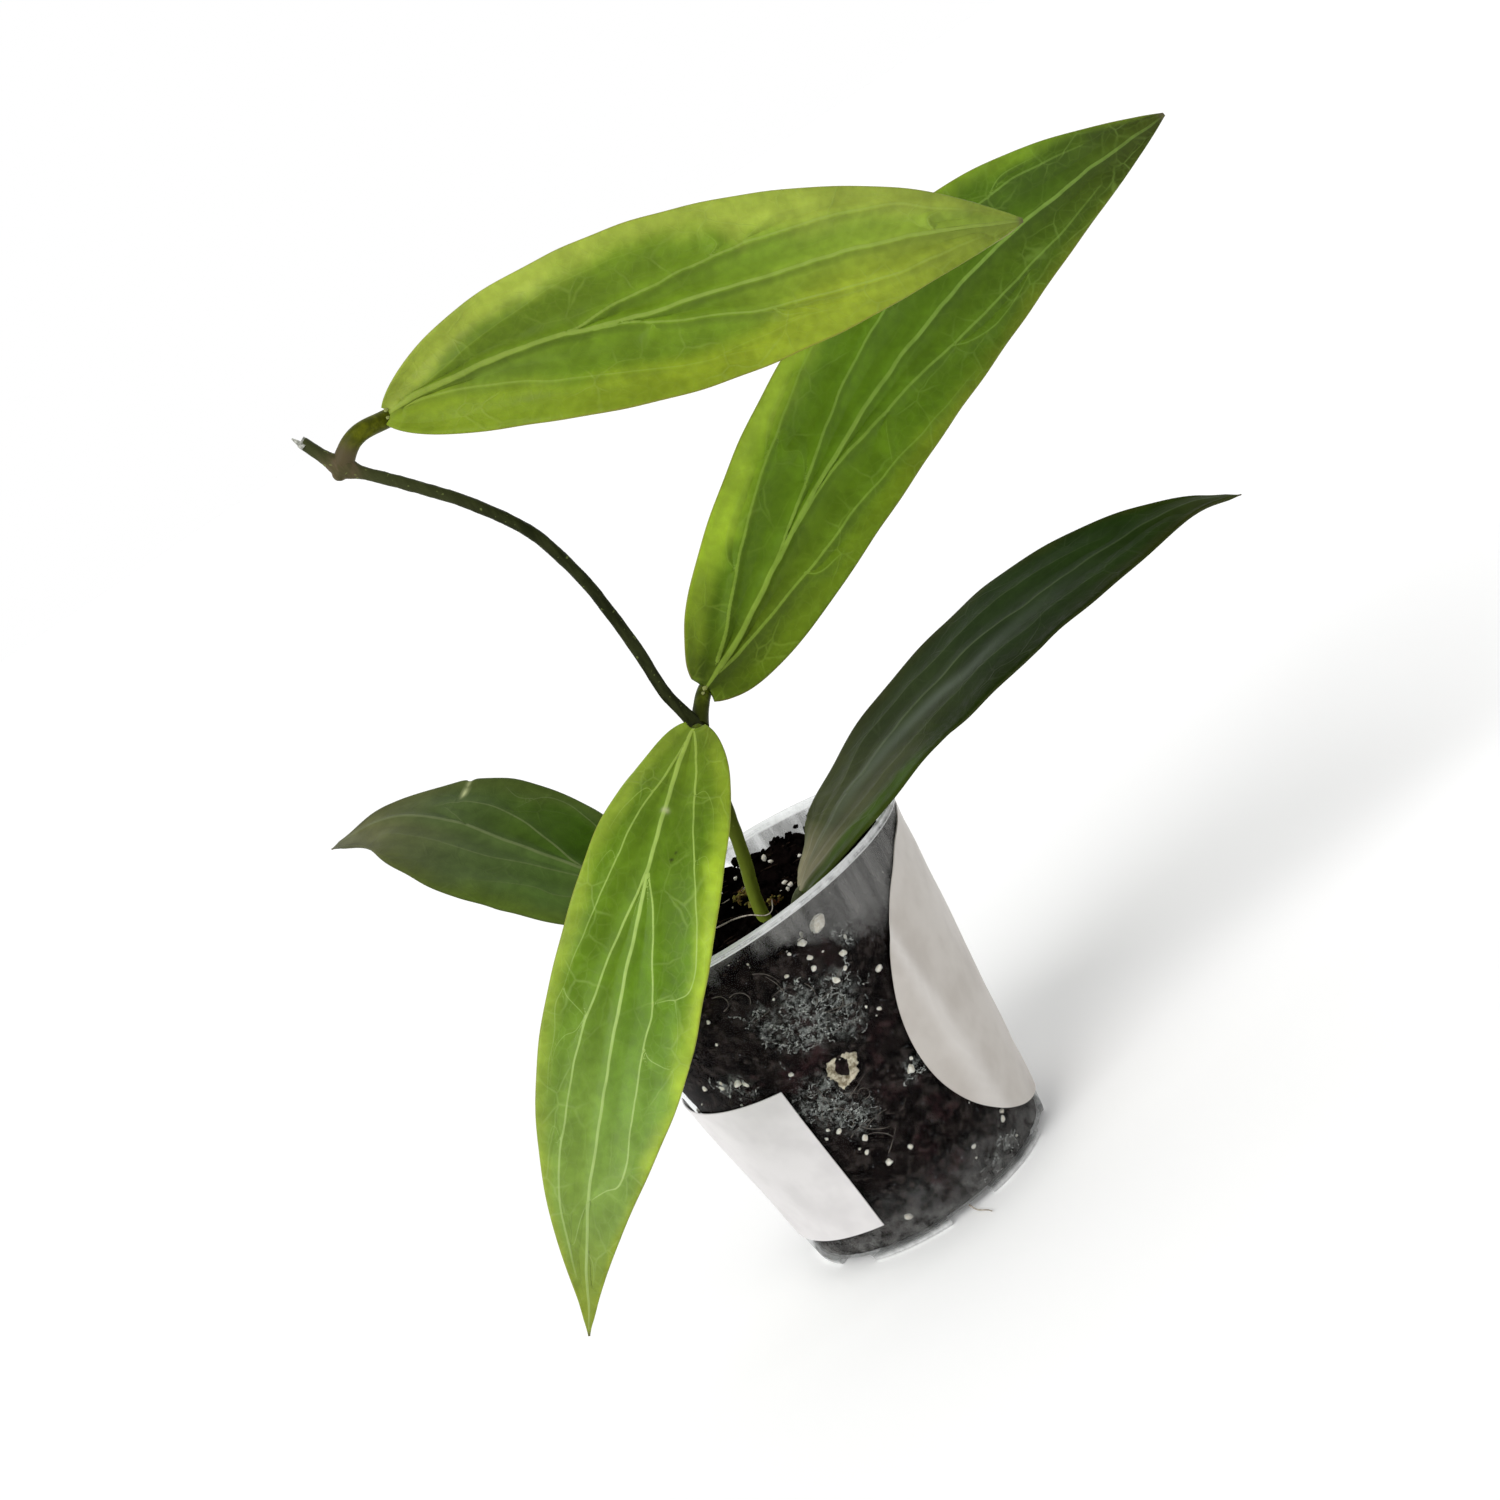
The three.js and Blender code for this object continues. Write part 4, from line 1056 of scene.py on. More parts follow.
# A leaf's spine and stalk are routes in mm, and tuck moves the stalk's stops behind the blade. A
# vein is a line of (share of the length, side) stops, its width at each end and its strength.
# Core is how far the inner green reaches, and colours go by the length, left side before right.
LEAVES = [
    {
        "node": "leaf_middle",
        "slot": "young_leaf",
        "spine": [
            (13.7, -4, 90.4),
            (23.5, 3, 93.7),
            (48.5, 12, 105.8),
            (71.5, 21, 114.6),
            (98.5, 28, 120.7),
            (133, 33, 122.6),
        ],
        "stalk": [(9.9, -6.8, 86.6), (11.8, -5, 88.7), (13.7, -4, 90.4), (17.2, -1.4, 91.5),
                  (21, 1.4, 92.8)],
        "tuck": (0, 0.4, 1.6, 1.8, 1.2),
        "stalk_radius": 1.25,
        "stalk_paint": ("363e0a", "4e5914", "30370d"),
        "halves": (16.2, 13.4),
        "widest": 0.52,
        "base": 0.42,
        "taper": 0.9,
        "face": (0, -1, 0.25),
        "roll": (8, 10),
        "fold": 8,
        "lobes": (0.3, 1.6),
        "wave": (0.5, 2.5, 0.4),
        "pleats": 1.9,
        "rib_shade_and_light": 0.9,
        "veins": [
            ([(0, 0), (0.3, -0.01), (0.6, 0), (1, 0)], 0.5, 0.28, 0.64),
            ([(0.19, -0.01), (0.27, -0.1), (0.4, -0.28), (0.54, -0.42), (0.66, -0.5), (0.78, -0.6),
              (0.88, -0.6)], 0.32, 0.23, 0.57),
            ([(0.24, 0), (0.34, 0.06), (0.42, 0.21), (0.57, 0.42), (0.66, 0.54), (0.76, 0.6),
              (0.87, 0.6)], 0.32, 0.23, 0.53),
            ([(0.04, -0.12), (0.13, -0.37), (0.24, -0.58), (0.35, -0.7), (0.44, -0.8),
              (0.54, -0.86)], 0.29, 0.23, 0.57),
            ([(0.03, 0.06), (0.07, 0.18), (0.16, 0.38), (0.26, 0.53), (0.38, 0.68), (0.46, 0.8),
              (0.56, 0.86)], 0.27, 0.22, 0.45),
            ([(0.57, 0.43), (0.585, 0.56), (0.62, 0.7), (0.67, 0.74), (0.72, 0.66)], 0.22, 0.17, 0.34),
            ([(0.74, -0.56), (0.77, -0.72), (0.82, -0.76)], 0.2, 0.16, 0.3),
            ([(0.2, 0.43), (0.21, 0.6), (0.25, 0.74)], 0.22, 0.16, 0.38),
            ([(0.16, -0.44), (0.17, -0.62), (0.21, -0.74), (0.28, -0.76)], 0.2, 0.16, 0.26),
            ([(0.3, -0.66), (0.34, -0.82), (0.41, -0.88)], 0.19, 0.14, 0.26),
            ([(0.38, 0.69), (0.4, 0.52), (0.42, 0.36), (0.44, 0.24)], 0.17, 0.14, 0.23),
            ([(0.3, -0.14), (0.33, -0.34), (0.32, -0.52), (0.34, -0.68)], 0.16, 0.14, 0.17),
        ],
        "core": (
            [(0, 0.45), (0.1, 0.66), (0.3, 0.7), (0.5, 0.76), (0.75, 0.84), (1, 0.9)],
            [(0, 0.4), (0.1, 0.6), (0.3, 0.72), (0.5, 0.8), (0.75, 0.9), (1, 1)],
        ),
        "inner": (
            [(0, "3f4f0a"), (0.15, "5b7914"), (0.45, "668a18"), (0.8, "476214"), (1, "3c4413")],
            [(0, "3f4f0a"), (0.15, "566c13"), (0.45, "658818"), (0.8, "455b12"), (1, "363e11")],
        ),
        "outer": (
            [(0, "536513"), (0.15, "9ebb2e"), (0.35, "a8c53e"), (0.6, "7d9826"), (0.85, "719022"),
             (1, "546118")],
            [(0, "566b10"), (0.3, "6f8a19"), (0.55, "798a21"), (0.8, "697b20"), (1, "3e4812")],
        ),
        "vein": [(0, "97b143"), (0.5, "98b951"), (1, "93b356")],
    },
    {
        "node": "leaf_hanging",
        "slot": "young_leaf",
        "spine": [
            (9, -11.5, 87.6),
            (2.5, -20, 83.5),
            (-8, -31, 77),
            (-27, -38, 59.7),
            (-42.5, -42, 43),
            (-54, -42, 25.2),
        ],
        "stalk": [(9.4, -7.2, 85.8), (9.5, -9.4, 86.4), (9, -11.5, 86.9), (6.5, -15, 86),
                  (4, -18, 84.4)],
        "tuck": (0, 0.2, 1.0, 1.5, 1),
        "stalk_radius": 0.95,
        "stalk_paint": ("4d5a16", "66751f", "3a4210"),
        "halves": (12.6, 10.8),
        "widest": 0.5,
        "base": 0.47,
        "taper": 1.22,
        "face": (0, -1, 0.1),
        "roll": (19, 2),
        "fold": 8,
        "lobes": (1.2, 1.2),
        "wave": (0.5, 3, 1.6),
        "pleats": 0.8,
        "veins": [
            ([(0, 0.1), (0.08, 0.11), (0.17, 0.05), (0.3, 0), (0.5, -0.01), (0.7, -0.04),
              (0.85, -0.04), (1, 0)], 0.54, 0.25, 0.86),
            ([(0.28, 0.01), (0.34, 0.12), (0.4, 0.24), (0.47, 0.33), (0.56, 0.45), (0.66, 0.54),
              (0.76, 0.64), (0.83, 0.66), (0.9, 0.56)], 0.29, 0.18, 0.78),
            ([(0.29, -0.02), (0.34, -0.17), (0.4, -0.28), (0.478, -0.4), (0.54, -0.42), (0.6, -0.44),
              (0.66, -0.5), (0.72, -0.58), (0.755, -0.56), (0.765, -0.36), (0.785, -0.06)], 0.28,
             0.16, 0.78),
            ([(0.03, 0.12), (0.09, 0.26), (0.19, 0.46), (0.28, 0.52), (0.35, 0.62), (0.41, 0.71),
              (0.48, 0.78)], 0.24, 0.18, 0.68),
            ([(0.01, 0.02), (0.02, -0.12), (0.1, -0.34), (0.16, -0.4), (0.26, -0.59), (0.36, -0.78),
              (0.44, -0.84), (0.462, -0.72), (0.468, -0.58), (0.478, -0.4)], 0.24, 0.17, 0.73),
            ([(0.48, 0.78), (0.492, 0.72), (0.503, 0.58), (0.512, 0.46), (0.52, 0.4)], 0.17, 0.14,
             0.45),
            ([(0.52, 0.42), (0.54, 0.52), (0.55, 0.66), (0.575, 0.78), (0.62, 0.8)], 0.15, 0.12, 0.35),
            ([(0.48, 0.78), (0.51, 0.85), (0.55, 0.8), (0.59, 0.84), (0.64, 0.84)], 0.16, 0.13, 0.35),
            ([(0.545, -0.42), (0.56, -0.52), (0.568, -0.7), (0.575, -0.84), (0.62, -0.86)], 0.17,
             0.13, 0.5),
            ([(0.465, -0.68), (0.5, -0.76), (0.535, -0.8), (0.572, -0.8)], 0.14, 0.12, 0.28),
            ([(0.15, 0.4), (0.15, 0.58), (0.19, 0.74), (0.24, 0.8)], 0.18, 0.13, 0.46),
            ([(0.14, -0.38), (0.13, -0.56), (0.16, -0.72), (0.21, -0.78)], 0.16, 0.13, 0.35),
            ([(0.785, -0.04), (0.81, 0.14), (0.845, 0.42), (0.85, 0.6)], 0.16, 0.11, 0.35),
            ([(0.86, -0.04), (0.88, -0.3), (0.91, -0.42)], 0.15, 0.11, 0.26),
            ([(0.7, 0.58), (0.68, 0.74), (0.72, 0.84)], 0.14, 0.1, 0.23),
            ([(0.28, 0.52), (0.27, 0.66), (0.31, 0.8)], 0.14, 0.1, 0.26),
            ([(0.26, -0.59), (0.25, -0.74), (0.29, -0.86)], 0.14, 0.1, 0.26),
        ],
        "core": (
            [(0, 0.5), (0.1, 0.72), (0.3, 0.8), (0.5, 0.84), (0.75, 0.86), (1, 0.8)],
            [(0, 0.5), (0.1, 0.66), (0.3, 0.78), (0.5, 0.84), (0.75, 0.86), (1, 0.8)],
        ),
        "inner": (
            [(0, "6b821d"), (0.2, "5f7e17"), (0.45, "5f8318"), (0.65, "76973c"), (0.82, "7f9a47"),
             (1, "7d8826")],
            [(0, "6b821d"), (0.2, "5f7e17"), (0.45, "608118"), (0.65, "77953b"), (0.82, "7d9841"),
             (1, "7d8826")],
        ),
        "outer": (
            [(0, "6c801e"), (0.25, "a1bd31"), (0.6, "b8d047"), (0.85, "8a9c34"), (1, "7d8826")],
            [(0, "849b30"), (0.3, "95ae38"), (0.6, "94aa3e"), (0.85, "8a9a3a"), (1, "7d8826")],
        ),
        "vein": [(0, "a2b94f"), (0.25, "b1cd68"), (0.6, "b0ca78"), (1, "b4c887")],
        "pale": [(0.18, 0.04, 0.5, 0.5)],
        "dark": [(0.262, -0.26, 0.3, 0.3), (0.25, -0.3, 0.2, 0.2)],
    },
    {
        "node": "leaf_upper",
        "slot": "young_leaf",
        "spine": [
            (-3.2, -7, 153.3),
            (16.5, -10, 150.6),
            (32, -12, 146.4),
            (52.5, -12, 140.5),
            (77.5, -10, 132.2),
            (95.2, -6, 124.3),
        ],
        "stalk": [(-13.2, -8, 150.9), (-10.8, -8, 152.6), (-9, -8, 153.3), (-7, -8, 153.5),
                  (-3.2, -7, 153.3), (3, -7.6, 152.9)],
        "tuck": (0, 0, 0, 0.4, 1.9, 1.5),
        "stalk_radius": 1.45,
        "stalk_paint": ("44490a", "5c610f", "564d36"),
        "halves": (13.9, 14.2),
        "widest": 0.46,
        "base": 0.57,
        "taper": 0.86,
        "face": (0, -1, 0.25),
        "roll": (-4, -3),
        "fold": 8,
        "lobes": (1, 1.3),
        "wave": (0.6, 2.5, 2.6),
        "pleats": 2.3,
        "rib_shade_and_light": 1.2,
        "veins": [
            ([(0, -0.1), (0.06, -0.1), (0.16, -0.04), (0.28, -0.03), (0.38, 0.02), (0.58, 0.02),
              (0.72, -0.03), (0.85, 0), (1, 0)], 0.42, 0.2, 0.6),
            ([(0.29, -0.03), (0.32, -0.09), (0.37, -0.19), (0.45, -0.28), (0.54, -0.39),
              (0.62, -0.47), (0.73, -0.58), (0.81, -0.65), (0.9, -0.6)], 0.27, 0.17, 0.48),
            ([(0.33, 0.01), (0.38, 0.06), (0.45, 0.2), (0.56, 0.37), (0.71, 0.5), (0.82, 0.59),
              (0.92, 0.5)], 0.24, 0.17, 0.48),
            ([(0.03, -0.14), (0.09, -0.31), (0.22, -0.5), (0.31, -0.64), (0.42, -0.68),
              (0.5, -0.66)], 0.22, 0.13, 0.16),
            ([(0.03, 0.02), (0.1, 0.15), (0.23, 0.45), (0.34, 0.58), (0.48, 0.74), (0.58, 0.82)],
             0.2, 0.15, 0.32),
            ([(0.52, -0.38), (0.535, -0.5), (0.525, -0.62)], 0.17, 0.13, 0.26),
            ([(0.585, 0.39), (0.6, 0.54), (0.63, 0.6)], 0.2, 0.13, 0.35),
            ([(0.85, -0.02), (0.845, -0.35), (0.87, -0.58)], 0.2, 0.13, 0.32),
            ([(0.57, -0.43), (0.63, -0.7), (0.7, -0.8)], 0.14, 0.11, 0.19),
            ([(0.48, 0.74), (0.56, 0.66), (0.63, 0.64), (0.7, 0.74)], 0.14, 0.11, 0.19),
            ([(0.398, 0.09), (0.41, 0.14), (0.406, 0.2)], 0.12, 0.1, 0.25),
        ],
        "core": (
            [(0, 0.05), (0.06, 0.3), (0.12, 0.52), (0.3, 0.72), (0.45, 0.76), (0.53, 0.68),
             (0.57, 0.46), (0.8, 0.5), (1, 0.5)],
            [(0, 0.03), (0.1, 0.12), (0.25, 0.46), (0.4, 0.6), (0.55, 0.6), (0.64, 0.36),
             (0.85, 0.3), (1, 0.4)],
        ),
        # Near the midrib, the left half's inner green is painted darker and the right half's lighter:
        # painted shade and light of the leaf's fold, over its own green.
        "inner": (
            [(0, "7b8e27"), (0.1, "60771b"), (0.3, "637d1b"), (0.48, "6c891f"), (0.6, "78952a"),
             (0.8, "8ea739"), (1, "6c7c30")],
            [(0, "829729"), (0.15, "6e872c"), (0.3, "69861d"), (0.5, "6d8a21"), (0.75, "8fa234"),
             (1, "6c7c30")],
        ),
        "outer": (
            [(0, "8a9a35"), (0.2, "a2b344"), (0.5, "a2b444"), (0.8, "92a23f"), (1, "788833")],
            [(0, "809622"), (0.2, "7d9420"), (0.5, "879a21"), (0.7, "95a730"), (1, "748430")],
        ),
        "vein": [(0, "94a643"), (0.4, "98af52"), (1, "9bb05b")],
    },
    {
        "node": "leaf_old_right",
        "slot": "old_leaf",
        "spine": [
            (8.4, -5.7, 54.8),
            (19.1, -6.1, 61),
            (39.1, 3.9, 66.1),
            (61.6, 2.8, 71.7),
            (90.8, 2.3, 71.5),
            (104.9, 6.1, 66.1),
        ],
        "stalk": [(5, -2.6, 47), (5.8, -3.9, 50.2), (7, -5.1, 53), (8.4, -5.7, 54.8),
                  (10.6, -5.8, 56.1), (13.2, -5.9, 57.6)],
        "tuck": (0, 0, 0, 0.5, 1.1, 0.75),
        "stalk_radius": 1.1,
        "stalk_paint": ("4c5238", "666b4e", "3c4226"),
        "halves": (12.4, 16),
        "widest": 0.49,
        "base": 0.32,
        "taper": 1.4,
        "face": (0, -0.34, 0.94),
        "roll": (-18, 9.6),
        "fold": 3.6,
        "lobes": (-1.2, -1.2),
        "wave": (0.58, 2.6, -3.78),
        "pleats": 1,
        "veins": [
            ([(0, 0.1), (0.088, -0.03), (0.162, -0.13), (0.25, -0.1), (0.342, -0.1), (0.415, -0.04),
              (0.5, 0), (0.588, 0.1), (0.675, 0.08), (0.782, 0.07), (0.9, 0.1), (1, 0)], 0.58, 0.31,
             0.43),
            ([(0.198, -0.42), (0.278, -0.57), (0.372, -0.56), (0.425, -0.48), (0.5, -0.47),
              (0.565, -0.46), (0.628, -0.45), (0.695, -0.39), (0.76, -0.31)], 0.29, 0.22, 0.29),
            ([(0.005, 0.13), (0.05, -0.14), (0.118, -0.13), (0.17, -0.14), (0.225, -0.06)], 0.29,
             0.19, 0.29),
            ([(0.008, -0.33), (0.032, -0.85), (0.105, -0.66), (0.175, -0.7)], 0.26, 0.17, 0.22),
            ([(0.015, -0.4), (0.05, -0.5), (0.12, -0.44), (0.2, -0.42)], 0.26, 0.17, 0.26),
            ([(0.01, 0.3), (0.035, 0.52), (0.072, 0.56), (0.105, 0.62), (0.132, 0.7), (0.2, 0.72)],
             0.26, 0.17, 0.26),
            ([(0.01, 0.2), (0.06, 0.28), (0.16, 0.36), (0.3, 0.42), (0.5, 0.5), (0.7, 0.52),
              (0.85, 0.5)], 0.29, 0.22, 0.26),
        ],
        "core": ([(0, 0.84), (1, 0.9)], [(0, 0.45), (0.15, 0.6), (0.4, 0.66), (1, 0.8)]),
        "inner": (
            [(0, "a49c7e"), (0.12, "4d5333"), (0.3, "333d22"), (0.5, "243216"), (0.8, "1f320b"),
             (1, "2e340d")],
            [(0, "a49c7e"), (0.12, "4f5337"), (0.3, "31391e"), (0.5, "222e16"), (0.8, "1d2e08"),
             (1, "2e340d")],
        ),
        "outer": (
            [(0, "555b36"), (0.3, "3b3f22"), (0.7, "2f360e"), (1, "30370e")],
            [(0, "47551b"), (0.12, "323f0b"), (0.3, "202e03"), (0.6, "162203"), (1, "30370e")],
        ),
        "vein": [(0, "797d59"), (0.3, "616c4e"), (1, "4c5c38")],
        # A streak of painted sheen along the midrib: the reflection of the light above, held in the
        # leaf's colour.
        "sheen": [(0.06, -0.1), (0.185, -0.1), (0.248, -0.02), (0.32, 0.05), (0.398, 0.15),
                  (0.47, 0.3), (0.542, 0.27), (0.61, 0.24), (0.67, 0.2), (0.75, 0.16)],
        "fleck": [(0.1, 0.7, 1.6, 4), (0.14, 0.8, 1.8, 4), (0.2, 0.85, 1.8, 5)],
    },
    {
        "node": "leaf_old_left",
        "slot": "old_leaf",
        "spine": [
            (-5.4, 5, 59.7),
            (-17.5, 8, 72.4),
            (-25, 13, 81.8),
            (-36.3, 19, 92.4),
            (-44.2, 24, 96.6),
            (-54.2, 28, 97.4),
        ],
        "stalk": [(-11.8, 7.6, 45), (-10.8, 7.2, 48.5), (-9.2, 6.5, 52), (-7.2, 5.7, 55.8),
                  (-5.6, 5.1, 59.2), (-6.6, 5.3, 61.8), (-9.8, 6.2, 64.6)],
        "tuck": (0, 0, 0, 0.1, 0.6, 1.1, 0.75),
        "stalk_radius": 1.1,
        "stalk_paint": ("3f4b22", "55633a", "343e1c"),
        "halves": (15.4, 13.5),
        "widest": 0.56,
        "base": 0.6,
        "taper": 1.4,
        "face": (0.3, -0.75, 0.65),
        "roll": (9, 20),
        "fold": 3,
        "lobes": (0.8, 0.8),
        "wave": (0.5, 2, 0.2),
        "pleats": 1,
        "veins": [
            ([(0, 0), (0.3, -0.04), (0.41, -0.07), (0.54, -0.01), (0.62, 0.06), (0.73, 0.12),
              (0.84, 0.16), (1, 0)], 0.58, 0.31, 0.82),
            ([(0.26, -0.03), (0.32, 0), (0.42, 0.19), (0.48, 0.33), (0.54, 0.43), (0.6, 0.48),
              (0.66, 0.5), (0.72, 0.4)], 0.3, 0.22, 0.71),
            ([(0.2, -0.06), (0.31, -0.18), (0.4, -0.27), (0.52, -0.32), (0.6, -0.31), (0.7, -0.31),
              (0.81, -0.38)], 0.3, 0.22, 0.5),
            ([(0.1, -0.2), (0.3, -0.55), (0.36, -0.56), (0.44, -0.63), (0.54, -0.72)], 0.24, 0.19,
             0.41),
            ([(0.1, 0.3), (0.25, 0.6), (0.37, 0.77), (0.42, 0.84), (0.46, 0.84), (0.49, 0.76),
              (0.52, 0.57)], 0.24, 0.19, 0.5),
            ([(0.49, 0.76), (0.53, 0.72), (0.57, 0.84)], 0.2, 0.16, 0.41),
            ([(0.62, 0.06), (0.66, 0.24), (0.7, 0.4)], 0.2, 0.16, 0.41),
        ],
        "core": ([(0, 0.7), (0.4, 0.8), (1, 0.7)], [(0, 0.7), (0.4, 0.76), (0.6, 0.8), (1, 0.7)]),
        "inner": (
            [(0, "4f6428"), (0.35, "4e662d"), (0.6, "4f5e35"), (0.85, "626543"), (1, "5f6050")],
            [(0, "395512"), (0.35, "37530e"), (0.5, "445a20"), (0.7, "4e5d35"), (0.9, "626440"),
             (1, "5f6050")],
        ),
        "outer": (
            [(0, "526723"), (0.5, "5a6e29"), (0.8, "575b35"), (1, "5f6050")],
            [(0, "465d1e"), (0.6, "4c5b27"), (0.85, "595c3b"), (1, "5f6050")],
        ),
        "vein": [(0, "75824f"), (0.5, "6d7a4e"), (1, "73775c")],
        "pale": [(0.665, 0.74, 1.3, 0.4), (0.667, 0.93, 0.9, 0.22)],
        "notch": (0.667, 0.008, 0.05),
    },
]


def blade_width(share, leaf):
    """Width of the blade along it, as a share of its widest."""
    towards_base = np.clip(1 - share / leaf["widest"], 0, 1)
    towards_tip = np.clip((share - leaf["widest"]) / (1 - leaf["widest"]), 0, 1)
    near = np.maximum(1 - towards_base**2, 0) ** leaf["base"]
    far = np.maximum(np.cos(towards_tip * math.pi / 2), 0) ** leaf["taper"]
    return np.where(share < leaf["widest"], near, far)


def half_width(share, side, leaf):
    """Distance in mm from the midrib to the edge, at a share of the length and on a side."""
    return np.where(side < 0, leaf["halves"][0], leaf["halves"][1]) * blade_width(share, leaf)


def flattened(stops, leaf, length, steps):
    """Points in mm on the flat blade, along a smooth line through (share, side) stops."""
    route, _, _ = smooth_route([(*stop, 0) for stop in stops], np.linspace(0, 1, steps))
    return np.column_stack([route[:, 1] * half_width(route[:, 0], route[:, 1], leaf),
                            route[:, 0] * length])


def nearest_vein(across, along, leaf, length):
    """Signed distance from the nearest vein, and that vein's half width and strength."""
    away = np.full(len(across), 9.0)
    half, strong = np.ones(len(across)), np.zeros(len(across))
    for stops, wide, narrow, strength in leaf["veins"]:
        flat = flattened(stops, leaf, length, 9 * len(stops))
        for index, (start, end) in enumerate(zip(flat, flat[1:])):
            leg = end - start
            off_x, off_y = across - start[0], along - start[1]
            t = np.clip((off_x * leg[0] + off_y * leg[1]) / (leg @ leg + 1e-9), 0, 1)
            gap = np.hypot(off_x - t * leg[0], off_y - t * leg[1])
            nearer = gap < np.abs(away)
            hand = np.where(leg[0] * off_y - leg[1] * off_x < 0, -1, 1)
            away = np.where(nearer, gap * hand, away)
            width = wide + (narrow - wide) * (index + t) / (len(flat) - 1)
            half = np.where(nearer, width / 2, half)
            fading = 1 - 0.8 * ((index + t) / (len(flat) - 1)) ** 5
            strong = np.where(nearer, strength * fading, strong)
    return away, half, strong


def spotted(across, along, marks, leaf, length):
    """How strongly small marks, each (share, side, half width, half length) in mm, cover a point."""
    cover = np.zeros(len(across))
    for share, side, wide, long in marks:
        x = across - side * half_width(np.array(share), np.array(side), leaf)
        cover = np.maximum(cover, np.exp(-((x / wide) ** 2) - ((along - share * length) / long) ** 2))
    return cover


def painted_sheen_along(leaf, length, flat_x, flat_y):
    """How strongly the leaf's painted sheen, a pale streak of reflection held in its colour, covers
    each point, if the leaf has one.
    """
    shine = np.zeros(len(flat_x))
    if "sheen" in leaf:
        streak = flattened(leaf["sheen"], leaf, length, 90)
        levels = np.interp(np.linspace(0, 1, len(streak)), (0, 0.15, 0.5, 1), (0.6, 1, 0.9, 0))
        for (x, y), level in zip(streak, levels):
            glow = np.exp(-((flat_x - x) ** 2 + (flat_y - y) ** 2) / PAINTED_SHEEN_RADIUS**2)
            shine = np.maximum(shine, level * glow)
    return shine


def unrolled(blade, flat_x, flat_y):
    """Lays the blade's UV map out as the leaf lies flat."""
    corners = np.empty(len(blade.data.loops), int)
    blade.data.loops.foreach_get("vertex_index", corners)
    flat = np.column_stack([0.5 + flat_x / FLAT_PER_UV, flat_y / FLAT_PER_UV])[corners]
    blade.data.uv_layers[0].data.foreach_set("uv", flat.astype(np.float32).ravel())


def thickened(blade, weights):
    """Gives the flat blade its thickness, by a weight for each point, and its underside."""
    group = blade.vertex_groups.new(name="thickness")
    for index, weight in enumerate(weights.tolist()):
        group.add([index], min(weight, 1), "REPLACE")
    with_modifier(
        blade,
        "SOLIDIFY",
        thickness=LEAF_THICKNESS * MM,
        offset=0,
        vertex_group="thickness",
        material_offset=1,
    )


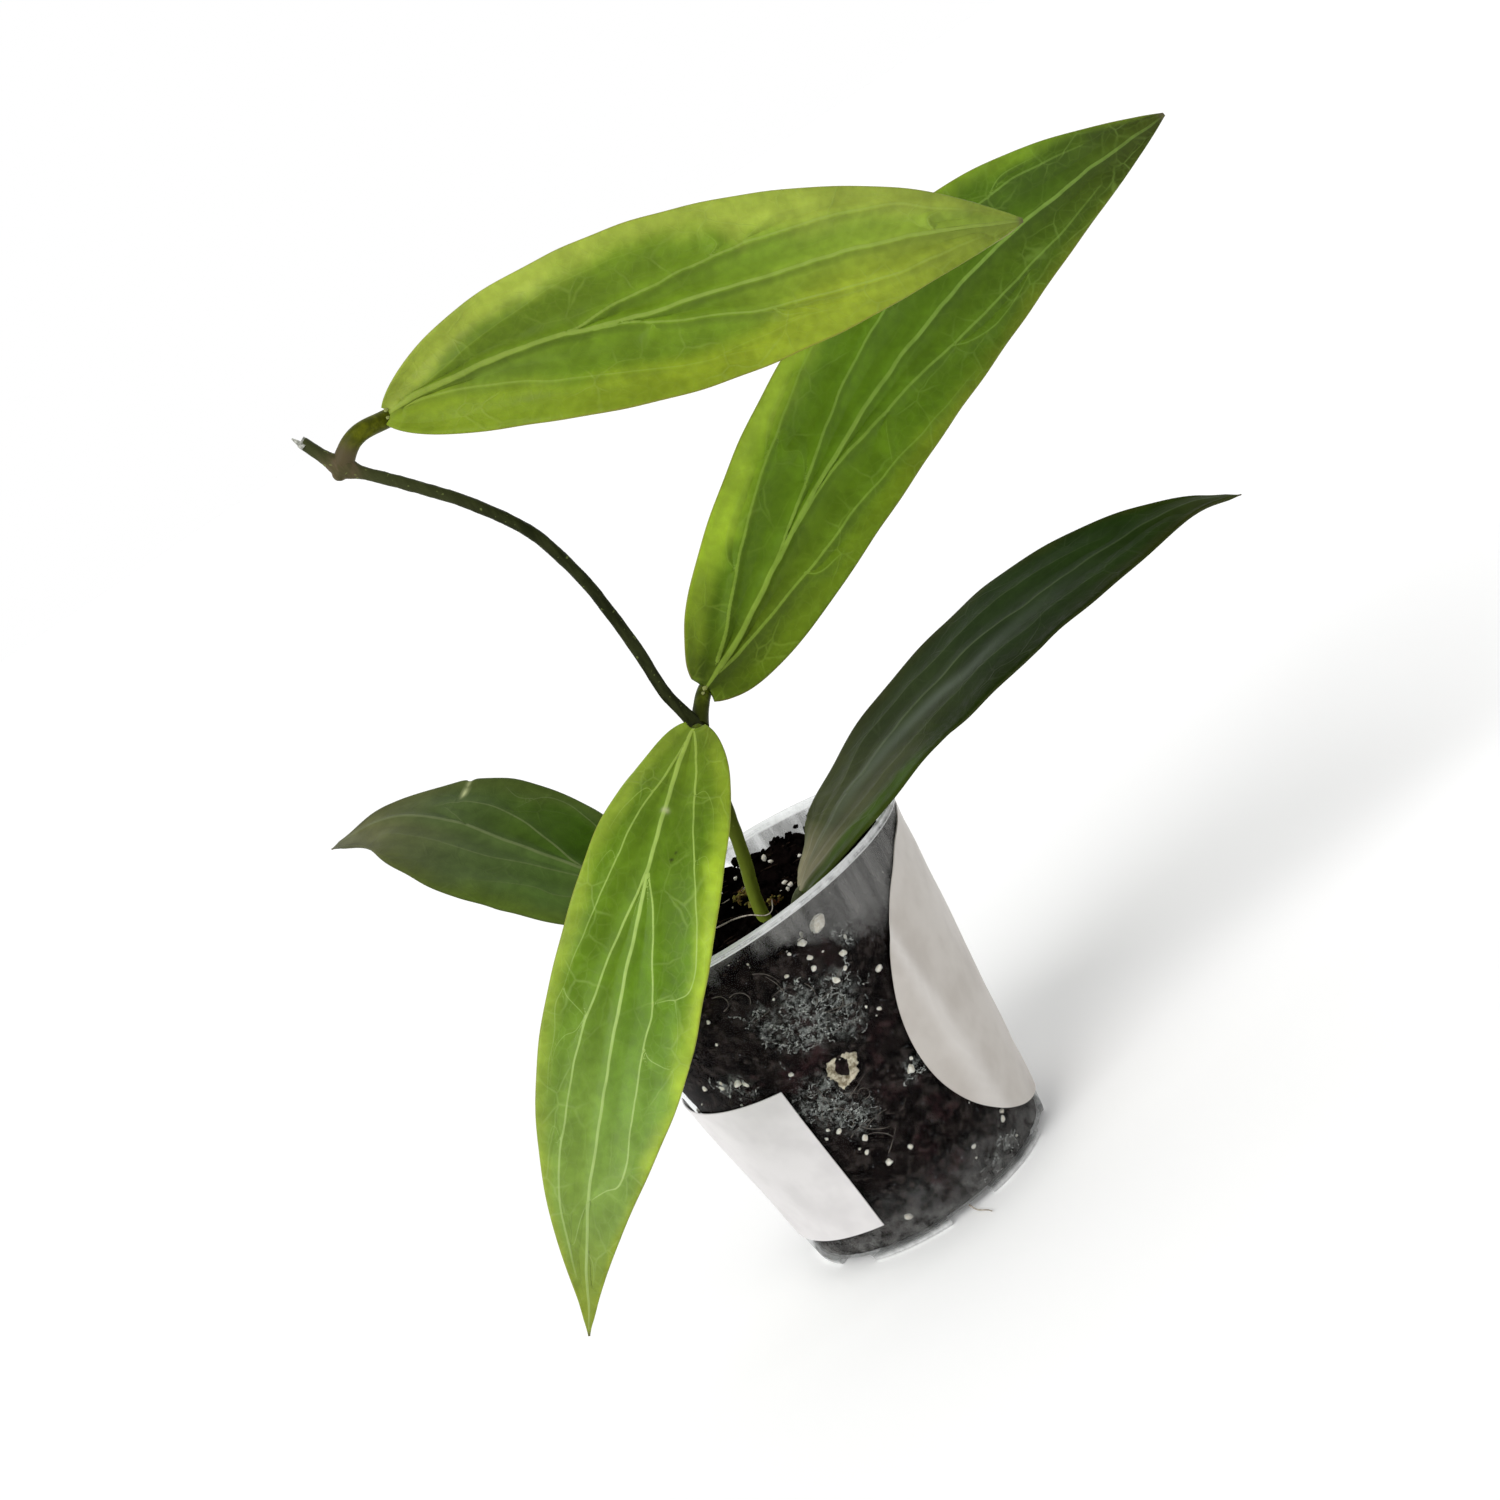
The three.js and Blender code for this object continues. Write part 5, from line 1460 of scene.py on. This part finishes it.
def grown_blade(leaf):
    """The blade, from a flat grid whose X is the side and whose Y is the way to the tip."""
    _, _, length = smooth_route(leaf["spine"], [0, 1])
    nothing_selected()
    bpy.ops.mesh.primitive_grid_add(
        x_subdivisions=int(sum(leaf["halves"]) / LEAF_ACROSS_STEP),
        y_subdivisions=int(length / LEAF_ALONG_STEP),
        size=2 * MM,
        calc_uvs=True,
    )
    blade = bpy.context.object
    blade.name = leaf["node"] + "_blade"
    side, even, _ = points_of(blade).T
    even = (even + 1) / 2
    eased_share = (0.5 - 0.5 * np.cos(math.pi * even) + even) / 2
    share = LEAF_FIRST_SHARE + (LEAF_LAST_SHARE - LEAF_FIRST_SHARE) * eased_share
    centre, along, _ = smooth_route(leaf["spine"], share)
    level = np.cross(along, leaf["face"])
    level /= np.linalg.norm(level, axis=1)[:, None]
    roll = np.radians(leaf["roll"][0] + (leaf["roll"][1] - leaf["roll"][0]) * share)[:, None]
    across = level * np.cos(roll) + np.cross(along, level) * np.sin(roll)
    up = np.cross(across, along)
    width = blade_width(share, leaf)
    edge = np.abs(side)
    half = half_width(share, side, leaf)
    flat_x = side * half
    flat_y = share * length
    half = half * (1 + EDGE_RIPPLE * np.sin(41 * share + 2 * side) * np.sin(17 * share))
    if "notch" in leaf:
        notch_share, notch_length, notch_depth = leaf["notch"]
        half *= 1 - notch_depth * np.exp(-(((share - notch_share) / notch_length) ** 2)) * (side > 0)
    fold = math.radians(leaf["fold"])
    size, count, phase = leaf["wave"]
    wave = size * width * np.sin(2 * math.pi * count * share + phase + side) * edge**3
    rise = half * math.sin(fold) * (np.hypot(edge, FOLD_SOFTNESS) - FOLD_SOFTNESS) + wave
    lobes = np.where(side < 0, *leaf["lobes"])

    stray = rough(np.column_stack([flat_x, flat_y, np.full(len(share), length)]), 8, 2)
    away, vein_half, strong = nearest_vein(flat_x + VEIN_STRAY * stray, flat_y, leaf, length)
    near = np.abs(away)
    room = np.clip((1 - edge) * 6, 0, 1) * np.clip(share * 25, 0, 1)
    puff = PUFF_HEIGHT * np.exp(-((near / PUFF_REACH) ** 2))
    crest = strong * (puff + VEIN_HEIGHT * np.exp(-((near / vein_half) ** 2))) * leaf["pleats"]
    sag = SAG_DEPTH * leaf["pleats"] * (1 - np.exp(-((near / SAG_REACH) ** 2)))
    sag *= np.clip((1 - edge) * 3, 0, 1)
    sway = np.sin(0.31 * flat_y + 0.4 * flat_x) * np.sin(0.23 * flat_x - 0.17 * flat_y + 1)
    relief = room * (crest - sag + STRAY_HEIGHT * stray) + SWAY_HEIGHT * sway * width * edge
    point = centre + across * (half * side * math.cos(fold))[:, None] + up * (rise + relief)[:, None]
    point -= along * (lobes * edge**2 * np.exp(-share / LOBE_REACH))[:, None]
    put_points(blade, point)

    left, right = [np.interp(share, *zip(*stops)) for stops in leaf["core"]]
    keep_values(blade, "away", np.clip(away, -2, 2))
    keep_values(blade, "near", np.clip(near, 0, 4))
    keep_values(blade, "half", vein_half)
    keep_values(blade, "strong", strong)
    keep_values(blade, "margin", edge - np.where(side < 0, left, right))
    keep_values(blade, "edge", edge)
    keep_values(blade, "share", share)
    keep_values(blade, "side", side)
    for mark in LEAF_MARKS:
        keep_values(blade, mark, spotted(flat_x, flat_y, leaf.get(mark, []), leaf, length))
    keep_values(blade, "sheen", painted_sheen_along(leaf, length, flat_x, flat_y))
    unrolled(blade, flat_x, flat_y)
    rim = np.sqrt(np.clip((1 - edge) / 0.05, 0, 1))
    tip = np.clip((1 - share) / 0.03, 0.3, 1)
    thickened(blade, (0.56 + 0.9 * crest * room) * (0.35 + 0.65 * rim) * tip)
    smooth(blade)
    return blade


def graded(tree, value, stops):
    """A colour that changes with a value through (value, colour) stops."""
    ramp = add(tree, "ValToRGB", {0: value})
    marks = ramp.color_ramp.elements
    for index, (position, colour) in enumerate(stops):
        mark = marks[index] if index < 2 and len(marks) > index else marks.new(position)
        mark.position = position
        mark.color = paint(colour)
    return ramp.outputs[0]


def leaf_skin(leaf, under):
    """Waxy leaf skin: mottled green between paler veins, a yellower margin and a fine net, with painted
    shade and light beside the veins of some leaves and a painted sheen on one.
    """
    material, tree = new_finish(leaf["node"] + ("_under" if under else "_top"))
    old = leaf["slot"] == "old_leaf"
    spread = add(tree, "UVMap", {}).outputs[0]
    share, side, edge, margin = [stored(tree, name) for name in ("share", "side", "edge", "margin")]
    away, near, half, strong = [stored(tree, name) for name in ("away", "near", "half", "strong")]

    def flat_noise(size, detail=3):
        settings = {"Vector": spread, "Scale": FLAT_PER_UV / size, "Detail": detail}
        return add(tree, "TexNoise", settings)

    def net(size, line):
        bend = flat_noise(size * 0.7, 2).outputs["Color"]
        strayed = add(tree, "Mix", {0: size / 700, 4: spread, 5: bend}, data_type="VECTOR").outputs[1]
        drawn = add(tree, "Mapping", {"Vector": strayed, "Scale": (1, 0.72, 1)}).outputs[0]
        cells = {"Vector": drawn, "Scale": FLAT_PER_UV / size}
        gaps = add(tree, "TexVoronoi", cells, feature="DISTANCE_TO_EDGE").outputs["Distance"]
        return eased(tree, gaps, 0, line / size, 1, 0)

    clouds = worked(tree, "SUBTRACT", flat_noise(11).outputs[0], 0.5)
    mottle = flat_noise(1.6, 4).outputs[0]
    hand = eased(tree, side, -0.15, 0.15)
    inner = blended(tree, hand, *[graded(tree, share, stops) for stops in leaf["inner"]])
    outer = blended(tree, hand, *[graded(tree, share, stops) for stops in leaf["outer"]])
    border = worked(tree, "ADD", margin, times(tree, clouds, 0.5))
    colour = blended(tree, eased(tree, border, -0.16, 0.2), inner, outer)
    colour = shaded(tree, colour, eased(tree, flat_noise(6, 2).outputs[0], 0.35, 0.65, 0.9, 1.08))
    colour = shaded(tree, colour, eased(tree, mottle, 0.3, 0.7, 0.92, 1.07))
    colour = shaded(tree, colour, eased(tree, near, 0.5, 2.5, 1.03, 0.93))

    vein = graded(tree, share, leaf["vein"])
    coarse = times(tree, net(5.2, 0.22), eased(tree, flat_noise(9, 2).outputs[0], 0.38, 0.6))
    fine = times(tree, net(1.7, 0.16), 0.3)
    mesh = worked(tree, "MAXIMUM", coarse, fine)
    mesh = times(tree, mesh, eased(tree, edge, 0.15, 0.55, 0.35, 1))
    colour = blended(tree, times(tree, mesh, 0.09 if old else 0.2), colour, vein)
    gap = worked(tree, "ABSOLUTE", away, 0)
    line = times(tree, eased(tree, worked(tree, "DIVIDE", gap, half), 0.5, 1.05, 1, 0),
                 eased(tree, near, 0.55, 0.95, 1, 0))
    broken = eased(tree, flat_noise(3, 2).outputs[0], 0.3, 0.6, 0.75, 1)
    line = times(tree, times(tree, line, strong), broken)
    halo = times(tree, eased(tree, near, 0, 1.1, 0.06, 0), strong)
    # Painted shade and light beside the veins: one flank of each raised vein is darkened as if in shade
    # and the other lightened as if lit.
    if "rib_shade_and_light" in leaf:
        agree = eased(tree, worked(tree, "SUBTRACT", gap, near), -0.3, -0.1)
        furrow_shade = times(tree, eased(tree, away, -1.5, -0.35), eased(tree, away, -0.3, -0.05, 1, 0))
        ridge_light = times(tree, eased(tree, away, 0.05, 0.3), eased(tree, away, 0.35, 1.5, 1, 0))
        tone = worked(tree, "SUBTRACT", times(tree, ridge_light, RIDGE_PAINTED_LIGHT * leaf["rib_shade_and_light"]),
                      times(tree, furrow_shade, FURROW_PAINTED_SHADE * leaf["rib_shade_and_light"]))
        tone = times(tree, tone, times(tree, agree, strong))
        colour = shaded(tree, colour, worked(tree, "ADD", tone, 1))
    colour = blended(tree, halo, colour, vein)
    colour = blended(tree, line, colour, vein)

    # Painted sheen: a pale streak of reflection held in the colour.
    if "sheen" in leaf:
        colour = mixed_in(tree, colour, "6d776a", stored(tree, "sheen"), 0.4)
    rim = eased(tree, edge, 0.98, 0.998, 0, 0.4)
    colour = mixed_in(tree, colour, "3a3f20" if old else "8c7c3c", rim)
    colour = mixed_in(tree, colour, "5c5340", eased(tree, share, 0.982, 0.996, 0, 0.8))
    for mark, (added_colour, strength) in LEAF_MARKS.items():
        colour = mixed_in(tree, colour, added_colour, stored(tree, mark), strength)
    if under:
        colour = mixed_in(tree, colour, "93a673", 0.3)
    relief = worked(tree, "ADD", times(tree, mottle, 0.4), times(tree, mesh, 0.5))
    wax = {"Specular IOR Level": 0.03 if old else 0.12}
    if not old:
        wax["Subsurface Weight"] = 0.12
        wax["Subsurface Radius"] = (0.5, 1, 0.1)
        wax["Subsurface Scale"] = 0.8 * MM
    skinned(tree, colour, eased(tree, mottle, 0.3, 0.7, 0.36, 0.5), relief, 0.3, 0.3, wax)
    return material


def stalk_skin(name, dark, light, collar):
    """A leaf stalk's skin: green, streaked along it, and darker where it leaves the stem."""
    material, tree = new_finish(name)
    streaks = speckle(tree, object_place(tree), 1.1, 4)
    colour = blended(tree, eased(tree, streaks, 0.35, 0.7), paint(dark), paint(light))
    colour = mixed_in(tree, colour, collar, eased(tree, stored(tree, "run"), 0.08, 0.28, 1, 0))
    skinned(tree, colour, STEM_ROUGHNESS, streaks, 0.3, 0.3, {"Specular IOR Level": STEM_GLOSS})
    return material


for leaf in LEAVES:
    blade = grown_blade(leaf)
    blade.data.materials.append(leaf_skin(leaf, False))
    blade.data.materials.append(leaf_skin(leaf, True))
    settle(blade, leaf["slot"], leaf["node"])

    def stalk_radius(shares, points):
        """Radius along the stalk: flared at the stem, and fading behind the blade."""
        fade = np.clip((shares - 0.6) / 0.4, 0, 1)
        flare = 1 + 0.25 * np.exp(-shares / 0.12)
        return leaf["stalk_radius"] * flare * (1 - 0.6 * fade**2 * (3 - 2 * fade))

    facing = np.array(leaf["face"]) / np.linalg.norm(leaf["face"])
    stalk_stops = np.array(leaf["stalk"]) - np.outer(leaf["tuck"], facing)
    stalk = tube(leaf["node"] + "_stalk", stalk_stops, STALK_STEPS, stalk_radius, 6)
    route, _, _ = smooth_route(stalk_stops, np.linspace(0, 1, STALK_STEPS + 1))
    gaps = np.linalg.norm(points_of(stalk)[:, None] - route[None], axis=2)
    keep_values(stalk, "run", gaps.argmin(axis=1) / STALK_STEPS)
    smooth(stalk, 60)
    stalk.data.materials.append(stalk_skin(leaf["node"] + "_stalk", *leaf["stalk_paint"]))
    settle(stalk, leaf["slot"], leaf["node"])

# Leaf glands: small pale warts of hard skin that have grown on the bases of two young leaves,
# where the blade meets its stalk.

GLANDS = [  # place and size
    ((13.9, -4.6, 90.7), 0.75),
    ((13.2, -4.6, 90.2), 0.5),
    ((-3, -7.6, 154.1), 0.6),
    ((-3.4, -7.6, 153), 0.5),
]
GLAND_TURN = (0.3, 0.2, 0.5)
gland_places = []
for place, size in GLANDS:
    gland_places.append((place, (size * 1.4, size * 0.8, size), GLAND_TURN))
glands = strewn("leaf_glands", chunk("gland", 3, 0.2, 31), gland_places)
smooth(glands)
glands.data.materials.append(grainy("gland_skin", "7f8a3e", "a8ab72", 0.5, 0.5))
settle(glands, "young_leaf")

# Studio: a plain pale floor, soft light from the upper left and above, and a camera at the
# photo's angle, which is turned so that the plant leans to the left in the picture.

CAMERA_PLACE = Vector((14.4, -407.9, 161.6)) * MM
CAMERA_DOWN = math.radians(11.66)
CAMERA_ROLL = math.radians(33.63)
CAMERA_LENS = 62.25
CAMERA_SENSOR = 36
NEAREST_SEEN = 0.01
KEY_FROM = (-0.5, -0.55, 0.67)
KEY_STRENGTH = 1.9
KEY_WIDTH = math.radians(45)
FRONT_GLOW = 0.42
BACK_GLOW = 0.95
FLOOR_GLOW = 0.1
FLOOR_RADIUS = 9
FLOOR_GAP = 0.1


def plain_floor():
    """Matt white studio floor with a trace of unevenness."""
    material, tree = new_finish("studio_floor")
    place = object_place(tree)
    tone = blended(tree, speckle(tree, place, 400, 2), paint("fafafa"), paint("fcfcfb"))
    surface = {"Base Color": tone, "Roughness": 0.9, "Specular IOR Level": 0.1}
    surface["Emission Color"] = (1, 1, 1, 1)
    surface["Emission Strength"] = FLOOR_GLOW
    finished(tree, add(tree, "BsdfPrincipled", surface).outputs[0])
    return material


nothing_selected()
bpy.ops.mesh.primitive_circle_add(
    vertices=96, radius=FLOOR_RADIUS, fill_type="NGON", location=(0, 0, -FLOOR_GAP * MM)
)
floor = bpy.context.object
floor.name = "floor"
floor.data.materials.append(plain_floor())

world = bpy.data.worlds.new("studio")
bpy.context.scene.world = world
world.use_nodes = True
sky = world.node_tree
towards = add(sky, "TexCoord", {}).outputs["Generated"]
backwards = add(sky, "SeparateXYZ", {0: towards}).outputs[1]
glow = eased(sky, backwards, -0.2, 0.7, FRONT_GLOW, BACK_GLOW)
seen = add(sky, "LightPath", {}).outputs["Is Camera Ray"]
strength = worked(sky, "MAXIMUM", glow, seen)
sky.nodes["Background"].inputs["Color"].default_value = (1, 1, 1, 1)
sky.links.new(strength, sky.nodes["Background"].inputs["Strength"])

nothing_selected()
bpy.ops.object.light_add(type="SUN", location=(0, 0, 1))
key_light = bpy.context.object
key_light.name = "key_light"
key_light.data.energy = KEY_STRENGTH
key_light.data.angle = KEY_WIDTH
key_light.rotation_euler = Vector(KEY_FROM).to_track_quat("Z", "Y").to_euler()

forward = Vector((0, math.cos(CAMERA_DOWN), -math.sin(CAMERA_DOWN)))
level_right = Vector((1, 0, 0))
level_down = forward.cross(level_right)
picture_right = math.cos(CAMERA_ROLL) * level_right + math.sin(CAMERA_ROLL) * level_down
picture_down = -math.sin(CAMERA_ROLL) * level_right + math.cos(CAMERA_ROLL) * level_down
turned = Matrix((picture_right, -picture_down, -forward)).transposed()
bpy.ops.object.camera_add()
camera = bpy.context.object
camera.name = "photo_camera"
camera.matrix_world = Matrix.Translation(CAMERA_PLACE) @ turned.to_4x4()
camera.data.lens = CAMERA_LENS
camera.data.sensor_width = CAMERA_SENSOR
camera.data.clip_start = NEAREST_SEEN
bpy.context.scene.camera = camera
bpy.context.scene.view_settings.view_transform = "Standard"
